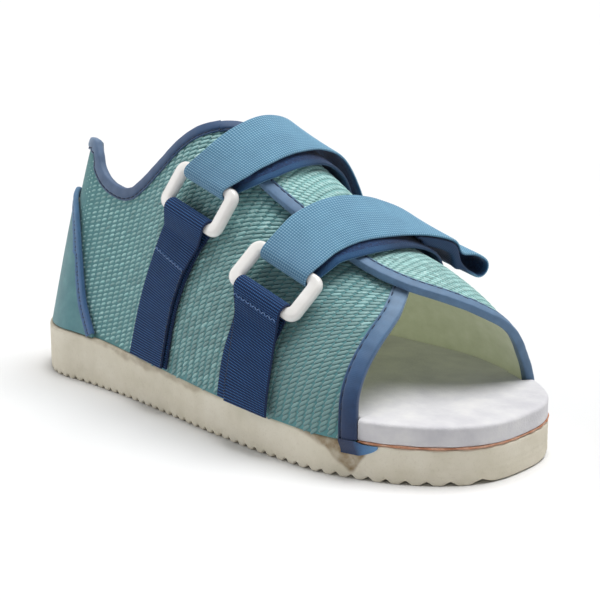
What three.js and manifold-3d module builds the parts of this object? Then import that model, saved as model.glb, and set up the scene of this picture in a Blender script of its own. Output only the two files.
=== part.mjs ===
// Open-toed postoperative shoe: a thick foam sole with a ridged tread, a mesh upper whose left
// flap wraps over its right one, a bound heel counter, and two straps that turn back through
// plastic rings held by webbing. Millimetres; +X points to the toe, +Y to the wearer's left and
// +Z up. The origin is on the floor, under the middle of the sole.
import * as THREE from "three";
import { mergeVertices } from "three/addons/utils/BufferGeometryUtils.js";
import Module from "manifold-3d";

const wasm = await Module();
wasm.setup();

const GAP = 0.3;

const SOLE = {
  length: 290, heelRadius: 37, ballHalfWidth: 59.5, ballX: 220, toePowerX: 1.48, toePowerY: 2.66,
  heelThick: 24.3, toeThick: 16.2, wedgeFrom: 60, wedgeTo: 250, bond: 0.9, insole: 9,
};
const TREAD = {
  pitch: 5.6, growth: 0.06, tip: 2.4, depth: 1.7, heelRise: 4.5, heelFrom: 14, toeRise: 0.6, toeFrom: 12,
};
const CLOTH = { wall: 2.4, counter: 1.6, binding: 0.8, leg: 5.5, fold: 0.6 };
const RING = { inside: 29.6, slot: 14, bar: 5.2, end: 6.2, thick: 4.2, round: 1.2, corner: 4, stand: 5.7 };

// Straps and webbing turn their width over a share of their length; the webbing's two layers part
// a short way below the ring.
const STRAP = { width: 28, thick: 1.6, turnShare: 0.3, wrapDegrees: 90 };
const WEBBING = { width: 28.6, thick: 1.4, part: 8, footReach: 0.008, wrapDegrees: 135 };
const WEBBING_CLIMB = [
  { climb: 0, outer: 0, inner: 0, shift: 1 }, { climb: 0.4, outer: 0, inner: 0, shift: 0.9 },
  { climb: 0.7, outer: 0.3, inner: 0, shift: 0.6 }, { climb: 1, outer: 1.2, inner: 1.2, shift: 0.1 },
];
const PULL_LOOP = { from: 0.3, backTo: 0.15, closing: 1.4 };

// Numbers of stations that each curved stretch is cut into.
const STATIONS = {
  heelArc: 13, soleSide: 22, toeArc: 16, rightWall: 10, leftWall: 10, counter: 25, counterWall: 7,
  toeBinding: 14, flapFoot: 5, ringFold: 11, webbing: 13, strapUnder: 22, strapOver: 20, loop: 5,
};

// Sections of the upper, each at a distance from the heel: the height and sideways place of its
// crest, the inward lean of its wall, how far its foot stands outside the sole's edge, and how
// much its wall bellies out.
const SECTIONS = [
  { x: 37, crestZ: 150, crestY: 0, lean: 0.26, out: -3.5, belly: 3.6 },
  { x: 75, crestZ: 152, crestY: 0, lean: 0.24, out: -1.0, belly: 2.2 },
  { x: 107, crestZ: 145, crestY: 0, lean: 0.17, out: 1.0, belly: 1.0 },
  { x: 121, crestZ: 138, crestY: 1, lean: 0.13, out: 1.5, belly: 0.5 },
  { x: 155, crestZ: 118.5, crestY: 4, lean: 0.1, out: 2.0, belly: 0 },
  { x: 180, crestZ: 99.5, crestY: 7, lean: 0.08, out: 2.0, belly: 0 },
  { x: 204, crestZ: 84, crestY: 9, lean: 0.06, out: 1.5, belly: 0 },
  { x: 225, crestZ: 75.5, crestY: 10, lean: 0.05, out: 1.0, belly: 0.5 },
  { x: 243, crestZ: 66.5, crestY: 10, lean: 0.05, out: 0.6, belly: 1.0 },
  { x: 262, crestZ: 54, crestY: 10, lean: 0.05, out: 0.5, belly: 1.0 },
  { x: 275, crestZ: 46, crestY: 10, lean: 0.05, out: 0.5, belly: 1.0 },
];

// Height of the top edge round the ankle, by the distance from the centre back along the foot of
// the wall. The heel tab is highest a little to the right of the centre back.
const RIGHT_TOPLINE = [
  { along: 0, z: 116 }, { along: 18, z: 118.5 }, { along: 38, z: 119.3 }, { along: 51, z: 119.3 },
  { along: 57, z: 117.6 }, { along: 60.5, z: 113 }, { along: 63, z: 108 }, { along: 66, z: 104.8 },
  { along: 70, z: 102 }, { along: 76, z: 99.8 }, { along: 84, z: 98.7 }, { along: 90, z: 99.9 },
  { along: 96, z: 104 }, { along: 102.5, z: 109.7 }, { along: 110, z: 116.8 }, { along: 122, z: 128.3 },
  { along: 132, z: 134.5 }, { along: 139.1, z: 136.5 },
];
const LEFT_TOPLINE = [
  { along: 0, z: 116 }, { along: 4, z: 111 }, { along: 9, z: 102 }, { along: 15, z: 94 },
  { along: 22, z: 89 }, { along: 32, z: 87 }, { along: 50, z: 87 }, { along: 66, z: 91 },
  { along: 90, z: 103 }, { along: 115, z: 118 }, { along: 132, z: 127 }, { along: 145.1, z: 132 },
];

// Free edges of the two flaps over the instep and at the toe: how far each reaches across its
// section, where 1 is the crest and 2 the foot of the other wall. The right flap's front edge
// leans back as it climbs, by the distances of the last table.
const RIGHT_FLAP = [
  { x: 118, reach: 0.84 }, { x: 124, reach: 0.94 }, { x: 132, reach: 1.06 }, { x: 145, reach: 1.12 },
  { x: 200, reach: 1.14 }, { x: 222, reach: 1.05 }, { x: 234, reach: 0.95 }, { x: 241.2, reach: 0.88 },
];
const LEFT_FLAP = [
  { x: 124, reach: 0.82 }, { x: 130, reach: 0.95 }, { x: 136, reach: 1.12 }, { x: 141, reach: 1.26 },
  { x: 155, reach: 1.28 }, { x: 176, reach: 1.25 }, { x: 200, reach: 1.215 }, { x: 218, reach: 1.2 },
  { x: 230, reach: 1.165 }, { x: 240, reach: 1.1 }, { x: 249, reach: 1.01 }, { x: 256, reach: 0.88 },
  { x: 261, reach: 0.68 }, { x: 263, reach: 0.5 },
];
const LEAN_STATIONS = { from: 195, to: 241 };
const FRONT_LEAN = [
  { reach: 0, back: 0 }, { reach: 0.12, back: 1 }, { reach: 0.24, back: 2.7 }, { reach: 0.36, back: 3.5 },
  { reach: 0.48, back: 3.8 }, { reach: 0.6, back: 4.3 }, { reach: 0.7, back: 5.6 },
  { reach: 0.78, back: 8.4 }, { reach: 0.86, back: 12.2 }, { reach: 1.15, back: 24 },
];
const FLAP_LIFT = {
  height: CLOTH.wall + CLOTH.binding + CLOTH.fold + 2 * GAP,
  from: 0.35, to: 0.84, fromX: 80, toX: 118,
};

// Columns of each quarter by their distance from the centre back, closer where an edge bends.
const RIGHT_COLUMNS = [
  { from: GAP / 2, to: 44, count: 8 }, { from: 49, to: 72, count: 10 }, { from: 75, to: 87, count: 4 },
  { from: 91, to: 152, count: 14 }, { from: 158, to: 262.3, count: 18 },
];
const LEFT_COLUMNS = [
  { from: GAP / 2, to: 24, count: 9 }, { from: 29, to: 58, count: 5 }, { from: 65, to: 131, count: 8 },
  { from: 135, to: 267, count: 28 }, { from: 270.4, to: 284.1, count: 8 },
];

// Where the edge tapes start and stop, as stations along the sole and reaches up a wall.
const TOPLINE_ENDS = { rightX: 121, leftX: 118 };
const TAPE_TURN = 9;
const FLAP_TAPE = { fromX: 142, belowCorner: 0.08, footReach: 0.03 };
const TOE_TAPE = { footReach: 0.015, topReach: 0.77, leg: 8.2 };

// Arched edge of the heel counter, from its top at the centre back to its foot on either side. It
// is lower on the left, under the dip of the top edge there. Its tape stops just above the sole.
const COUNTER_EDGE = [
  { part: 0, run: 0, z: 95 }, { part: 1, run: 17, z: 93.5 }, { part: 2, run: 33, z: 90 },
  { part: 3, run: 45, z: 84 }, { part: 4, run: 53, z: 75 }, { part: 5, run: 58.5, z: 64 },
  { part: 6, run: 62.5, z: 52 }, { part: 7, run: 67, z: 40.5 }, { part: 8, run: 77, z: 26 },
];
const COUNTER_TAPE = { right: 7.5, left: 7 };
const COUNTER_LEFT = { share: 0.72, from: -1.5, to: 1.5 };

// Rings: the station and reach of each one's middle, and the fall of its width towards the toe.
// The straps' rows run from the seam on the left wall, over the instep and down to the ring; the
// outer layer goes back the same way to the free end. Stand is the height above the right flap.
const FASTENINGS = [
  {
    name: "rear", ringX: 129, ringReach: 0.51, fallDegrees: 18,
    webbing: { x: [104.8, 108.6, 114.2, 121.8], underShift: 2.6 },
    inner: [
      { reach: 1.94, x: 144, stand: 1.3 }, { reach: 1.6, x: 148.5, stand: 2 },
      { reach: 1.45, x: 150, stand: 3.5 }, { reach: 1.3, x: 150.5, stand: 5.6 },
      { reach: 1.0, x: 149.5, stand: 6.5 }, { reach: 0.82, x: 146, stand: 6.9 },
      { reach: 0.7, x: 140.5, stand: 6.8 },
    ],
    outer: [
      { reach: 0.7, x: 138, stand: 9.4 }, { reach: 0.85, x: 142.5, stand: 9.2 },
      { reach: 1.0, x: 144.5, stand: 9.2 }, { reach: 1.15, x: 145.5, stand: 11 },
      { reach: 1.32, x: 146.5, stand: 13.3 }, { reach: 1.55, x: 148, stand: 12 },
    ],
    tab: null,
  },
  {
    name: "front", ringX: 183, ringReach: 0.478, fallDegrees: 19,
    webbing: { x: [182.5, 182.4, 182, 180.8], underShift: -7 },
    inner: [
      { reach: 1.92, x: 193.5, stand: 1.3 }, { reach: 1.6, x: 198, stand: 2 },
      { reach: 1.45, x: 198.5, stand: 3.5 }, { reach: 1.3, x: 199, stand: 5.7 },
      { reach: 1.0, x: 196, stand: 7.2 }, { reach: 0.82, x: 191.5, stand: 7.7 },
      { reach: 0.7, x: 187.5, stand: 7.0 },
    ],
    outer: [
      { reach: 0.7, x: 185.5, stand: 9.4 }, { reach: 0.85, x: 188.5, stand: 9.8 },
      { reach: 1.0, x: 192, stand: 9.7 }, { reach: 1.12, x: 194.5, stand: 10.8 },
      { reach: 1.26, x: 198, stand: 14 }, { reach: 1.4, x: 202, stand: 17 },
    ],
    tab: { length: 21, open: 6 },
  },
];

const COLOURS = {
  outsole: 0xc9c2b0, bond: 0xb9825f, insole: 0xd6d5d6, mesh: 0x6fa5a4, counter: 0x6b9fa3,
  binding: 0x4f7092, webbing: 0x27427f, ring: 0xf1ece6, strap: 0x4b7fa3,
};
const ROUGH = { foam: 0.85, cloth: 0.9, plastic: 0.35 };

const shoe = new THREE.Group();
shoe.position.x = -SOLE.length / 2;

function add(name, geometry, colour, roughness) {
  const material = new THREE.MeshStandardMaterial({ color: colour, roughness, metalness: 0 });
  const mesh = new THREE.Mesh(geometry, material);
  mesh.name = name;
  shoe.add(mesh);
}

function ease(t) {
  const clamped = THREE.MathUtils.clamp(t, 0, 1);
  return clamped * clamped * (3 - 2 * clamped);
}

function spread(from, to, count) {
  return Array.from({ length: count }, (_, i) => from + ((to - from) * i) / (count - 1));
}

// Smooth curve through one column of a table, with no swing past its rows.
function through(rows, key, column) {
  const steps = rows.slice(1).map((row, i) => row[key] - rows[i][key]);
  const slopes = steps.map((step, i) => (rows[i + 1][column] - rows[i][column]) / step);
  const tangents = rows.map((_, i) => {
    if (i === 0) return slopes[0];
    if (i === slopes.length) return slopes[i - 1];
    const [before, after] = [slopes[i - 1], slopes[i]];
    return before * after <= 0 ? 0 : (2 * before * after) / (before + after);
  });
  return (at) => {
    if (at <= rows[0][key]) return rows[0][column];
    if (at >= rows.at(-1)[key]) return rows.at(-1)[column];
    const i = rows.findLastIndex((row) => row[key] <= at);
    const t = (at - rows[i][key]) / steps[i];
    const [low, high] = [rows[i][column], rows[i + 1][column]];
    const rise = t * (1 - t) * steps[i] * ((1 - t) * tangents[i] - t * tangents[i + 1]);
    return low + (high - low) * ease(t) + rise;
  };
}

// Closed solid between two grids of points, which turns its faces out by its signed volume.
function shell(outer, inner) {
  const rows = outer.length;
  const columns = outer[0].length;
  const points = [...outer.flat(), ...inner.flat()];
  const index = [];
  const quad = (a, b, c, d) => index.push(a, b, c, a, c, d);
  const at = (row, column) => row * columns + column;
  const under = rows * columns;
  for (let r = 0; r + 1 < rows; r += 1) {
    for (let c = 0; c + 1 < columns; c += 1) {
      quad(at(r, c), at(r + 1, c), at(r + 1, c + 1), at(r, c + 1));
      quad(under + at(r, c), under + at(r, c + 1), under + at(r + 1, c + 1), under + at(r + 1, c));
    }
    quad(at(r, 0), under + at(r, 0), under + at(r + 1, 0), at(r + 1, 0));
    const end = columns - 1;
    quad(at(r, end), at(r + 1, end), under + at(r + 1, end), under + at(r, end));
  }
  for (let c = 0; c + 1 < columns; c += 1) {
    quad(at(0, c), at(0, c + 1), under + at(0, c + 1), under + at(0, c));
    const end = rows - 1;
    quad(at(end, c), under + at(end, c), under + at(end, c + 1), at(end, c + 1));
  }
  let volume = 0;
  for (let i = 0; i < index.length; i += 3) {
    const [a, b, c] = [points[index[i]], points[index[i + 1]], points[index[i + 2]]];
    volume += a.dot(b.clone().cross(c));
  }
  if (volume < 0) index.reverse();
  const geometry = new THREE.BufferGeometry().setFromPoints(points);
  geometry.setIndex(index);
  return geometry;
}

function toManifold(geometry) {
  const bare = geometry.clone();
  bare.deleteAttribute("normal");
  bare.deleteAttribute("uv");
  const merged = mergeVertices(bare, 1e-4);
  const vertProperties = new Float32Array(merged.attributes.position.array);
  const triVerts = new Uint32Array(merged.index.array);
  return new wasm.Manifold(new wasm.Mesh({ numProp: 3, vertProperties, triVerts }));
}

function common(first, second) {
  const mesh = toManifold(first).intersect(toManifold(second)).getMesh();
  const geometry = new THREE.BufferGeometry();
  geometry.setAttribute("position", new THREE.BufferAttribute(mesh.vertProperties.slice(), 3));
  geometry.setIndex(new THREE.BufferAttribute(mesh.triVerts.slice(), 1));
  return geometry;
}

// Sole: a wedge of foam with a ridged tread, a thin bond line, and a softer insole that the upper
// stands round. All three share one outline, a round heel that widens to the ball and a blunt toe.
function halfWidth(x) {
  const { length, heelRadius, ballHalfWidth, ballX, toePowerX, toePowerY } = SOLE;
  if (x < heelRadius) return Math.sqrt(Math.max(0, heelRadius ** 2 - (heelRadius - x) ** 2));
  const widen = ballHalfWidth - heelRadius;
  if (x < ballX) return heelRadius + widen * ease((x - heelRadius) / (ballX - heelRadius));
  const part = Math.min(1, (x - ballX) / (length - ballX));
  return ballHalfWidth * (1 - part ** toePowerX) ** (1 / toePowerY);
}

function soleTop(x) {
  const { heelThick, toeThick, wedgeFrom, wedgeTo } = SOLE;
  const part = THREE.MathUtils.clamp((x - wedgeFrom) / (wedgeTo - wedgeFrom), 0, 1);
  return THREE.MathUtils.lerp(heelThick, toeThick, part);
}

// Where a flap's bound front edge ends and the insole comes out to the edge of the sole.
function frontStep(flap) {
  return flap.at(-1).x + CLOTH.binding + 3 * GAP;
}

function halfOutline() {
  const { length, heelRadius, ballX, toePowerX } = SOLE;
  const heel = spread(0, Math.PI / 2, STATIONS.heelArc).map((angle) =>
    new THREE.Vector2(heelRadius * (1 - Math.cos(angle)), heelRadius * Math.sin(angle)));
  const edge = (x) => new THREE.Vector2(x, halfWidth(x));
  const side = spread(heelRadius, ballX, STATIONS.soleSide).slice(1).map(edge);
  const steps = [RIGHT_FLAP, LEFT_FLAP].flatMap((flap) => [0, GAP].map((past) => frontStep(flap) + past));
  const toeX = spread(0, Math.PI / 2, STATIONS.toeArc).slice(1, -1)
    .map((angle) => ballX + (length - ballX) * Math.sin(angle) ** (2 / toePowerX))
    .filter((x) => steps.every((step) => Math.abs(x - step) > CLOTH.wall));
  const toe = [...toeX, ...steps].sort((a, b) => a - b).map(edge);
  return [...heel, ...side, ...toe, edge(length)];
}

function soleOutline(insetAt) {
  const half = halfOutline();
  const inset = (side) => half.map((point, i) => {
    const before = i === 0 ? new THREE.Vector2(point.x, -half[1].y) : half[i - 1];
    const last = i === half.length - 1;
    const after = last ? new THREE.Vector2(point.x, -half[i - 1].y) : half[i + 1];
    const along = after.clone().sub(before).normalize();
    const distance = insetAt(point.x, side);
    const y = point.y - along.x * distance;
    return new THREE.Vector2(point.x + along.y * distance, last || i === 0 ? 0 : side * y);
  });
  const right = inset(-1).slice(1, -1).reverse();
  return new THREE.Shape([...inset(1), ...right]);
}

function soleSlab(profile) {
  const depth = 4 * SOLE.ballHalfWidth;
  const slab = new THREE.ExtrudeGeometry(new THREE.Shape(profile), { depth, bevelEnabled: false });
  return slab.rotateX(Math.PI / 2).translate(0, depth / 2, 0);
}

function solePiece(insetAt, profile) {
  const options = { depth: 4 * SOLE.heelThick, bevelEnabled: false };
  const block = new THREE.ExtrudeGeometry(soleOutline(insetAt), options);
  return common(block.translate(0, 0, -SOLE.heelThick), soleSlab(profile));
}

function topProfile(raise) {
  const { length, wedgeFrom, wedgeTo } = SOLE;
  const stations = [-length, wedgeFrom, wedgeTo, 2 * length];
  return stations.map((x) => new THREE.Vector2(x, soleTop(x) + raise));
}

function treadProfile() {
  const { pitch, growth, tip, depth, heelRise, heelFrom, toeRise, toeFrom } = TREAD;
  const rise = (x) => {
    const heel = Math.max(0, heelFrom - x) / heelFrom;
    const toe = Math.max(0, x - SOLE.length + toeFrom) / toeFrom;
    return heelRise * heel ** 2 + toeRise * toe ** 2;
  };
  const ridges = Math.ceil(SOLE.length / pitch / 2);
  const ridgeX = (k) => SOLE.length / 2 + k * pitch + (k > 0 ? growth * k * k : 0);
  const points = [];
  for (let k = -ridges; k <= ridges; k += 1) {
    const [x, next] = [ridgeX(k), ridgeX(k + 1)];
    points.push(new THREE.Vector2(x - tip / 2, rise(x)));
    points.push(new THREE.Vector2(x + tip / 2, rise(x)));
    points.push(new THREE.Vector2((x + next) / 2, rise(x) + depth));
  }
  return points;
}

// Upper: a wall that follows the sole's edge from the right of the toe, round the heel, to the
// left of the toe. Run is the distance from the centre back, negative on the right; reach goes up
// the wall from 0 at its foot to 1 at the crest of the instep and on down the other side.
const HEEL_RUN = (SOLE.heelRadius * Math.PI) / 2;
const section = Object.fromEntries(["crestZ", "crestY", "lean", "out", "belly"]
  .map((column) => [column, through(SECTIONS, "x", column)]));

function stationX(run) {
  return SOLE.heelRadius + Math.abs(run) - HEEL_RUN;
}

function runAt(x, side) {
  return side * (x - SOLE.heelRadius + HEEL_RUN);
}

function surface(run, reach) {
  if (reach > 1) return surface(-run, 2 - reach);
  const side = run < 0 ? -1 : 1;
  const x = Math.max(SOLE.heelRadius, stationX(run));
  const aroundHeel = Math.abs(run) < HEEL_RUN;
  const angle = aroundHeel ? run / SOLE.heelRadius : (side * Math.PI) / 2;
  const outward = new THREE.Vector2(-Math.cos(angle), Math.sin(angle));
  const footDistance = (aroundHeel ? SOLE.heelRadius : halfWidth(x)) + section.out(x);
  const foot = outward.clone().multiplyScalar(footDistance).add(new THREE.Vector2(x, 0));
  const across = footDistance - side * section.crestY(x) * (aroundHeel ? 0 : 1);
  const footZ = soleTop(foot.x) + GAP;
  const rise = section.crestZ(x) - footZ;
  const turn = (reach * Math.PI) / 2;
  const leaning = section.lean(x) * rise;
  const curve = leaning * Math.sin(turn) + (across - leaning) * (1 - Math.cos(turn));
  const inward = curve - section.belly(x) * Math.sin(2 * turn);
  return new THREE.Vector3(
    foot.x - outward.x * inward, foot.y - outward.y * inward, footZ + rise * Math.sin(turn));
}

function surfaceNormal(run, reach) {
  const [stepRun, stepReach] = [0.4, 0.01];
  const alongRun = surface(run + stepRun, reach).sub(surface(run - stepRun, reach));
  const low = Math.max(0, reach - stepReach);
  const alongReach = surface(run, reach + stepReach).sub(surface(run, low));
  return alongReach.cross(alongRun).normalize();
}

function standOff(run, reach, stand) {
  return surface(run, reach).addScaledVector(surfaceNormal(run, reach), stand);
}

function reachAtHeight(run, z) {
  const x = Math.max(SOLE.heelRadius, stationX(run));
  const footZ = soleTop(x) + GAP;
  return Math.asin((z - footZ) / (section.crestZ(x) - footZ)) / (Math.PI / 2);
}

const toplineRight = through(RIGHT_TOPLINE, "along", "z");
const toplineLeft = through(LEFT_TOPLINE, "along", "z");
const flapRight = through(RIGHT_FLAP, "x", "reach");
const flapLeft = through(LEFT_FLAP, "x", "reach");
const frontLean = through(FRONT_LEAN, "reach", "back");

function edgeReach(run) {
  const right = run < 0;
  const flap = right ? RIGHT_FLAP : LEFT_FLAP;
  const x = stationX(run);
  if (x >= flap[0].x) return right ? flapRight(x) : flapLeft(x);
  const z = right ? toplineRight(-run) : toplineLeft(run);
  return reachAtHeight(run, z);
}

// The left flap lies over the right one, so it rises clear of it across the instep.
function flapLift(run, reach) {
  const { height, from, to, fromX, toX } = FLAP_LIFT;
  if (run < 0) return 0;
  return height * ease((reach - from) / (to - from)) * ease((stationX(run) - fromX) / (toX - fromX));
}

// Each column of a flap starts at its run on the sole; the right flap's lean back near the toe.
function columnRun(run, reach) {
  if (run > 0) return run;
  const { from, to } = LEAN_STATIONS;
  return run + frontLean(reach) * ease((stationX(run) - from) / (to - from));
}

function upperPoint(column, reach, depth) {
  const run = columnRun(column, reach);
  const point = standOff(run, reach, flapLift(run, reach) - depth);
  point.z = Math.max(point.z, soleTop(point.x) + GAP);
  return point;
}

function quarter(runs, steps) {
  const grid = (depth) => runs.map((run) =>
    spread(0, edgeReach(run), steps).map((reach) => upperPoint(run, reach, depth)));
  return shell(grid(0), grid(CLOTH.wall));
}

// Binding: a folded tape round an edge of the cloth. Each row of its path has the cloth's outer
// face at the edge and, one leg's length into the cloth, the same face where the tape ends.
function binding(path, wall) {
  const { binding: thick, fold } = CLOTH;
  const grid = (clear) => path.map(({ edge, into, end }) => [
    end.point.clone().addScaledVector(end.normal, clear),
    edge.point.clone().addScaledVector(edge.normal, clear).addScaledVector(into, fold - clear),
    edge.point.clone().addScaledVector(edge.normal, -wall / 2).addScaledVector(into, -clear),
    edge.point.clone().addScaledVector(edge.normal, -wall - clear).addScaledVector(into, fold - clear),
    end.point.clone().addScaledVector(end.normal, -wall - clear),
  ]);
  return shell(grid(fold + thick), grid(fold));
}

// Place on a face, in run and reach, that lies a leg's length along a direction from another.
function stepInto([run, reach], into, pointAt, leg) {
  const [stepRun, stepReach] = [0.5, 0.005];
  const byRun = pointAt([run + stepRun, reach]).sub(pointAt([run, reach])).divideScalar(stepRun);
  const byReach = pointAt([run, reach]).sub(pointAt([run, reach - stepReach])).divideScalar(stepReach);
  const [aa, ab, bb] = [byRun.dot(byRun), byRun.dot(byReach), byReach.dot(byReach)];
  const [pa, pb] = [leg * byRun.dot(into), leg * byReach.dot(into)];
  const scale = aa * bb - ab * ab;
  return [run + (bb * pa - ab * pb) / scale, reach + (aa * pb - ab * pa) / scale];
}

// The tape's legs turn over a stretch on either side of a corner, so that they don't run into each
// other.
function edgePath(places, pointAt, normalAt, leg) {
  const edges = places.map((place) => ({ point: pointAt(place), normal: normalAt(place) }));
  const last = edges.length - 1;
  const square = edges.map(({ normal }, i) => {
    const along = edges[Math.min(i + 1, last)].point.clone().sub(edges[Math.max(i - 1, 0)].point);
    return normal.clone().cross(along).normalize();
  });
  const lengths = [0];
  edges.slice(1).forEach(({ point }, i) => lengths.push(lengths[i] + point.distanceTo(edges[i].point)));
  return places.map((place, i) => {
    const into = new THREE.Vector3();
    square.filter((_, k) => Math.abs(lengths[k] - lengths[i]) < TAPE_TURN).forEach((side) => into.add(side));
    into.projectOnPlane(edges[i].normal).normalize();
    const end = stepInto(place, into, pointAt, leg);
    return { edge: edges[i], into, end: { point: pointAt(end), normal: normalAt(end) } };
  });
}

function upperEdge(places, leg) {
  const pointAt = ([run, reach]) => upperPoint(run, reach, 0);
  return edgePath(places, pointAt, ([run, reach]) => surfaceNormal(columnRun(run, reach), reach), leg);
}

// Ribbon: a flat strap through a list of frames, each with its middle, width and outward normal.
function ribbon(frames, width, thick) {
  const edge = ({ middle, across, normal }, side, height) =>
    middle.clone().addScaledVector(across, side).addScaledVector(normal, height);
  const grid = (height) => frames.map((frame) =>
    [-width / 2, width / 2].map((side) => edge(frame, side, height)));
  return shell(grid(thick / 2), grid(-thick / 2));
}

function ringFrame({ ringX, ringReach, fallDegrees }) {
  const run = runAt(ringX, -1);
  const normal = surfaceNormal(run, ringReach);
  const fall = THREE.MathUtils.degToRad(fallDegrees);
  const level = new THREE.Vector3(Math.cos(fall), 0, -Math.sin(fall));
  const across = level.projectOnPlane(normal).normalize();
  const up = across.clone().cross(normal).negate();
  return { middle: standOff(run, ringReach, RING.stand), across, up, normal };
}

// Half turn of a ribbon round one bar of a ring, from the outer face to the inner one or back.
function foldFrames(frame, barSide, thick, outerFirst, wrapDegrees) {
  const radius = RING.bar / 2 + GAP + thick / 2;
  const bar = frame.middle.clone().addScaledVector(frame.up, (barSide * (RING.slot + RING.bar)) / 2);
  return spread(wrapDegrees, -90, STATIONS.ringFold).map((degrees) => {
    const angle = THREE.MathUtils.degToRad(outerFirst ? degrees : -degrees);
    const normal = frame.normal.clone().multiplyScalar(Math.sin(angle))
      .addScaledVector(frame.up, -barSide * Math.cos(angle));
    const middle = bar.clone().addScaledVector(normal, radius);
    return { middle, across: frame.across, normal };
  });
}

// Frames of a layer that follows the upper. Its width lies along the sole at a sewn foot, along
// the ring's bar at a ring, and square to its own path between them. Facing is -1 for a layer
// that lies face down, under the one that it turns into at the ring.
function layerFrames(rows, count, weights, ringAcross, facing) {
  const keyed = rows.map((row, i) => ({ ...row, i }));
  const [reachOf, xOf, standOf] = ["reach", "x", "stand"].map((name) => through(keyed, "i", name));
  const places = spread(0, rows.length - 1, count);
  const points = places.map((i) => standOff(runAt(xOf(i), -1), reachOf(i), standOf(i)));
  return places.map((i, k) => {
    const run = runAt(xOf(i), -1);
    const ahead = points[Math.min(k + 1, count - 1)];
    const along = ahead.clone().sub(points[Math.max(k - 1, 0)]).normalize();
    const face = surfaceNormal(run, reachOf(i));
    const square = along.clone().cross(face).normalize();
    if (square.x < 0) square.negate();
    const footward = surface(run - 1, reachOf(i)).sub(surface(run + 1, reachOf(i))).normalize();
    const { foot, ring } = weights(k / (count - 1));
    const mixed = square.multiplyScalar(1 - foot - ring)
      .addScaledVector(footward, foot).addScaledVector(ringAcross, ring);
    const across = mixed.projectOnPlane(face).normalize();
    return { middle: points[k], across, normal: face.multiplyScalar(facing) };
  });
}

// Free end of a strap folded back under itself into a pull loop.
function tabFrames(end, before, { length, open }) {
  const along = end.middle.clone().sub(before.middle).normalize();
  const normal = end.normal.clone().projectOnPlane(along).normalize();
  const at = (forward, down, tilt) => ({
    middle: end.middle.clone().addScaledVector(along, forward).addScaledVector(normal, -down),
    across: end.across,
    normal: normal.clone().multiplyScalar(Math.cos(tilt)).addScaledVector(along, Math.sin(tilt)),
  });
  const radius = open / 2;
  const { from, backTo, closing } = PULL_LOOP;
  const out = spread(from, 1, STATIONS.loop).map((part) => at(part * length, 0, 0));
  const bend = spread(0, Math.PI, STATIONS.loop + 2).slice(1, -1).map((tilt) =>
    at(length + radius * Math.sin(tilt), radius * (1 - Math.cos(tilt)), tilt));
  const closed = STRAP.thick + GAP;
  const back = spread(1, backTo, STATIONS.loop).map((part) =>
    at(part * length, THREE.MathUtils.lerp(closed, open, ease(closing * part)), Math.PI));
  return [...out, ...bend, ...back];
}

const outsoleProfile = [...treadProfile(), ...topProfile(0).reverse()];
add("outsole", solePiece(() => 0, outsoleProfile), COLOURS.outsole, ROUGH.foam);

const bondBase = GAP / 2;
const insoleBase = bondBase + SOLE.bond + GAP / 2;
const insoleTop = insoleBase + SOLE.insole;

function insoleInset(x, side) {
  const flap = side < 0 ? RIGHT_FLAP : LEFT_FLAP;
  if (x > frontStep(flap)) return 0;
  const lean = section.lean(x) * insoleTop;
  const tape = x > frontStep(flap) - 2 * TOE_TAPE.leg ? CLOTH.binding + GAP : 0;
  return Math.max(0, CLOTH.wall + tape + 5 * GAP + lean - section.out(x));
}

const layer = (low, high) => [...topProfile(low), ...topProfile(high).reverse()];
add("bond_layer", solePiece(insoleInset, layer(bondBase, bondBase + SOLE.bond)), COLOURS.bond, ROUGH.foam);
add("insole", solePiece(insoleInset, layer(insoleBase, insoleTop)), COLOURS.insole, ROUGH.foam);

const columns = (side, stretches) =>
  stretches.flatMap(({ from, to, count }) => spread(side * from, side * to, count));
const rightRuns = columns(-1, RIGHT_COLUMNS);
const leftRuns = columns(1, LEFT_COLUMNS);
add("right_quarter", quarter(rightRuns, STATIONS.rightWall), COLOURS.mesh, ROUGH.cloth);
add("left_quarter", quarter(leftRuns, STATIONS.leftWall), COLOURS.mesh, ROUGH.cloth);

const edgePlace = (run) => [run, edgeReach(run)];
const clothTape = (places, leg) => binding(upperEdge(places, leg), CLOTH.wall);
const toplineRuns = [
  ...rightRuns.filter((run) => run >= runAt(TOPLINE_ENDS.rightX, -1)).reverse(),
  ...leftRuns.slice(1).filter((run) => run <= runAt(TOPLINE_ENDS.leftX, 1)),
];
add("topline_binding", clothTape(toplineRuns.map(edgePlace), CLOTH.leg), COLOURS.binding, ROUGH.cloth);

const leftFront = leftRuns.at(-1);
const flapTop = edgeReach(leftFront) - FLAP_TAPE.belowCorner;
const flapPlaces = [
  ...leftRuns.filter((run) => run >= runAt(FLAP_TAPE.fromX, 1)).map(edgePlace),
  ...spread(flapTop, FLAP_TAPE.footReach, STATIONS.flapFoot).map((reach) => [leftFront, reach]),
];
add("left_flap_binding", clothTape(flapPlaces, CLOTH.leg), COLOURS.binding, ROUGH.cloth);

const toePlaces = spread(TOE_TAPE.footReach, TOE_TAPE.topReach, STATIONS.toeBinding)
  .map((reach) => [rightRuns.at(-1), reach]);
add("right_toe_binding", clothTape(toePlaces, TOE_TAPE.leg), COLOURS.binding, ROUGH.cloth);

// Heel counter: a second panel wrapped round the outside of the heel, arched at the back, with
// its own folded tape.
const counterStand = CLOTH.binding + CLOTH.fold + 1.5 * GAP + CLOTH.counter;

const counterRun = through(COUNTER_EDGE, "part", "run");
const counterZ = through(COUNTER_EDGE, "part", "z");
const counterEnd = COUNTER_EDGE.at(-1);
const counterParts = spread(-counterEnd.part, counterEnd.part, STATIONS.counter);

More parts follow.
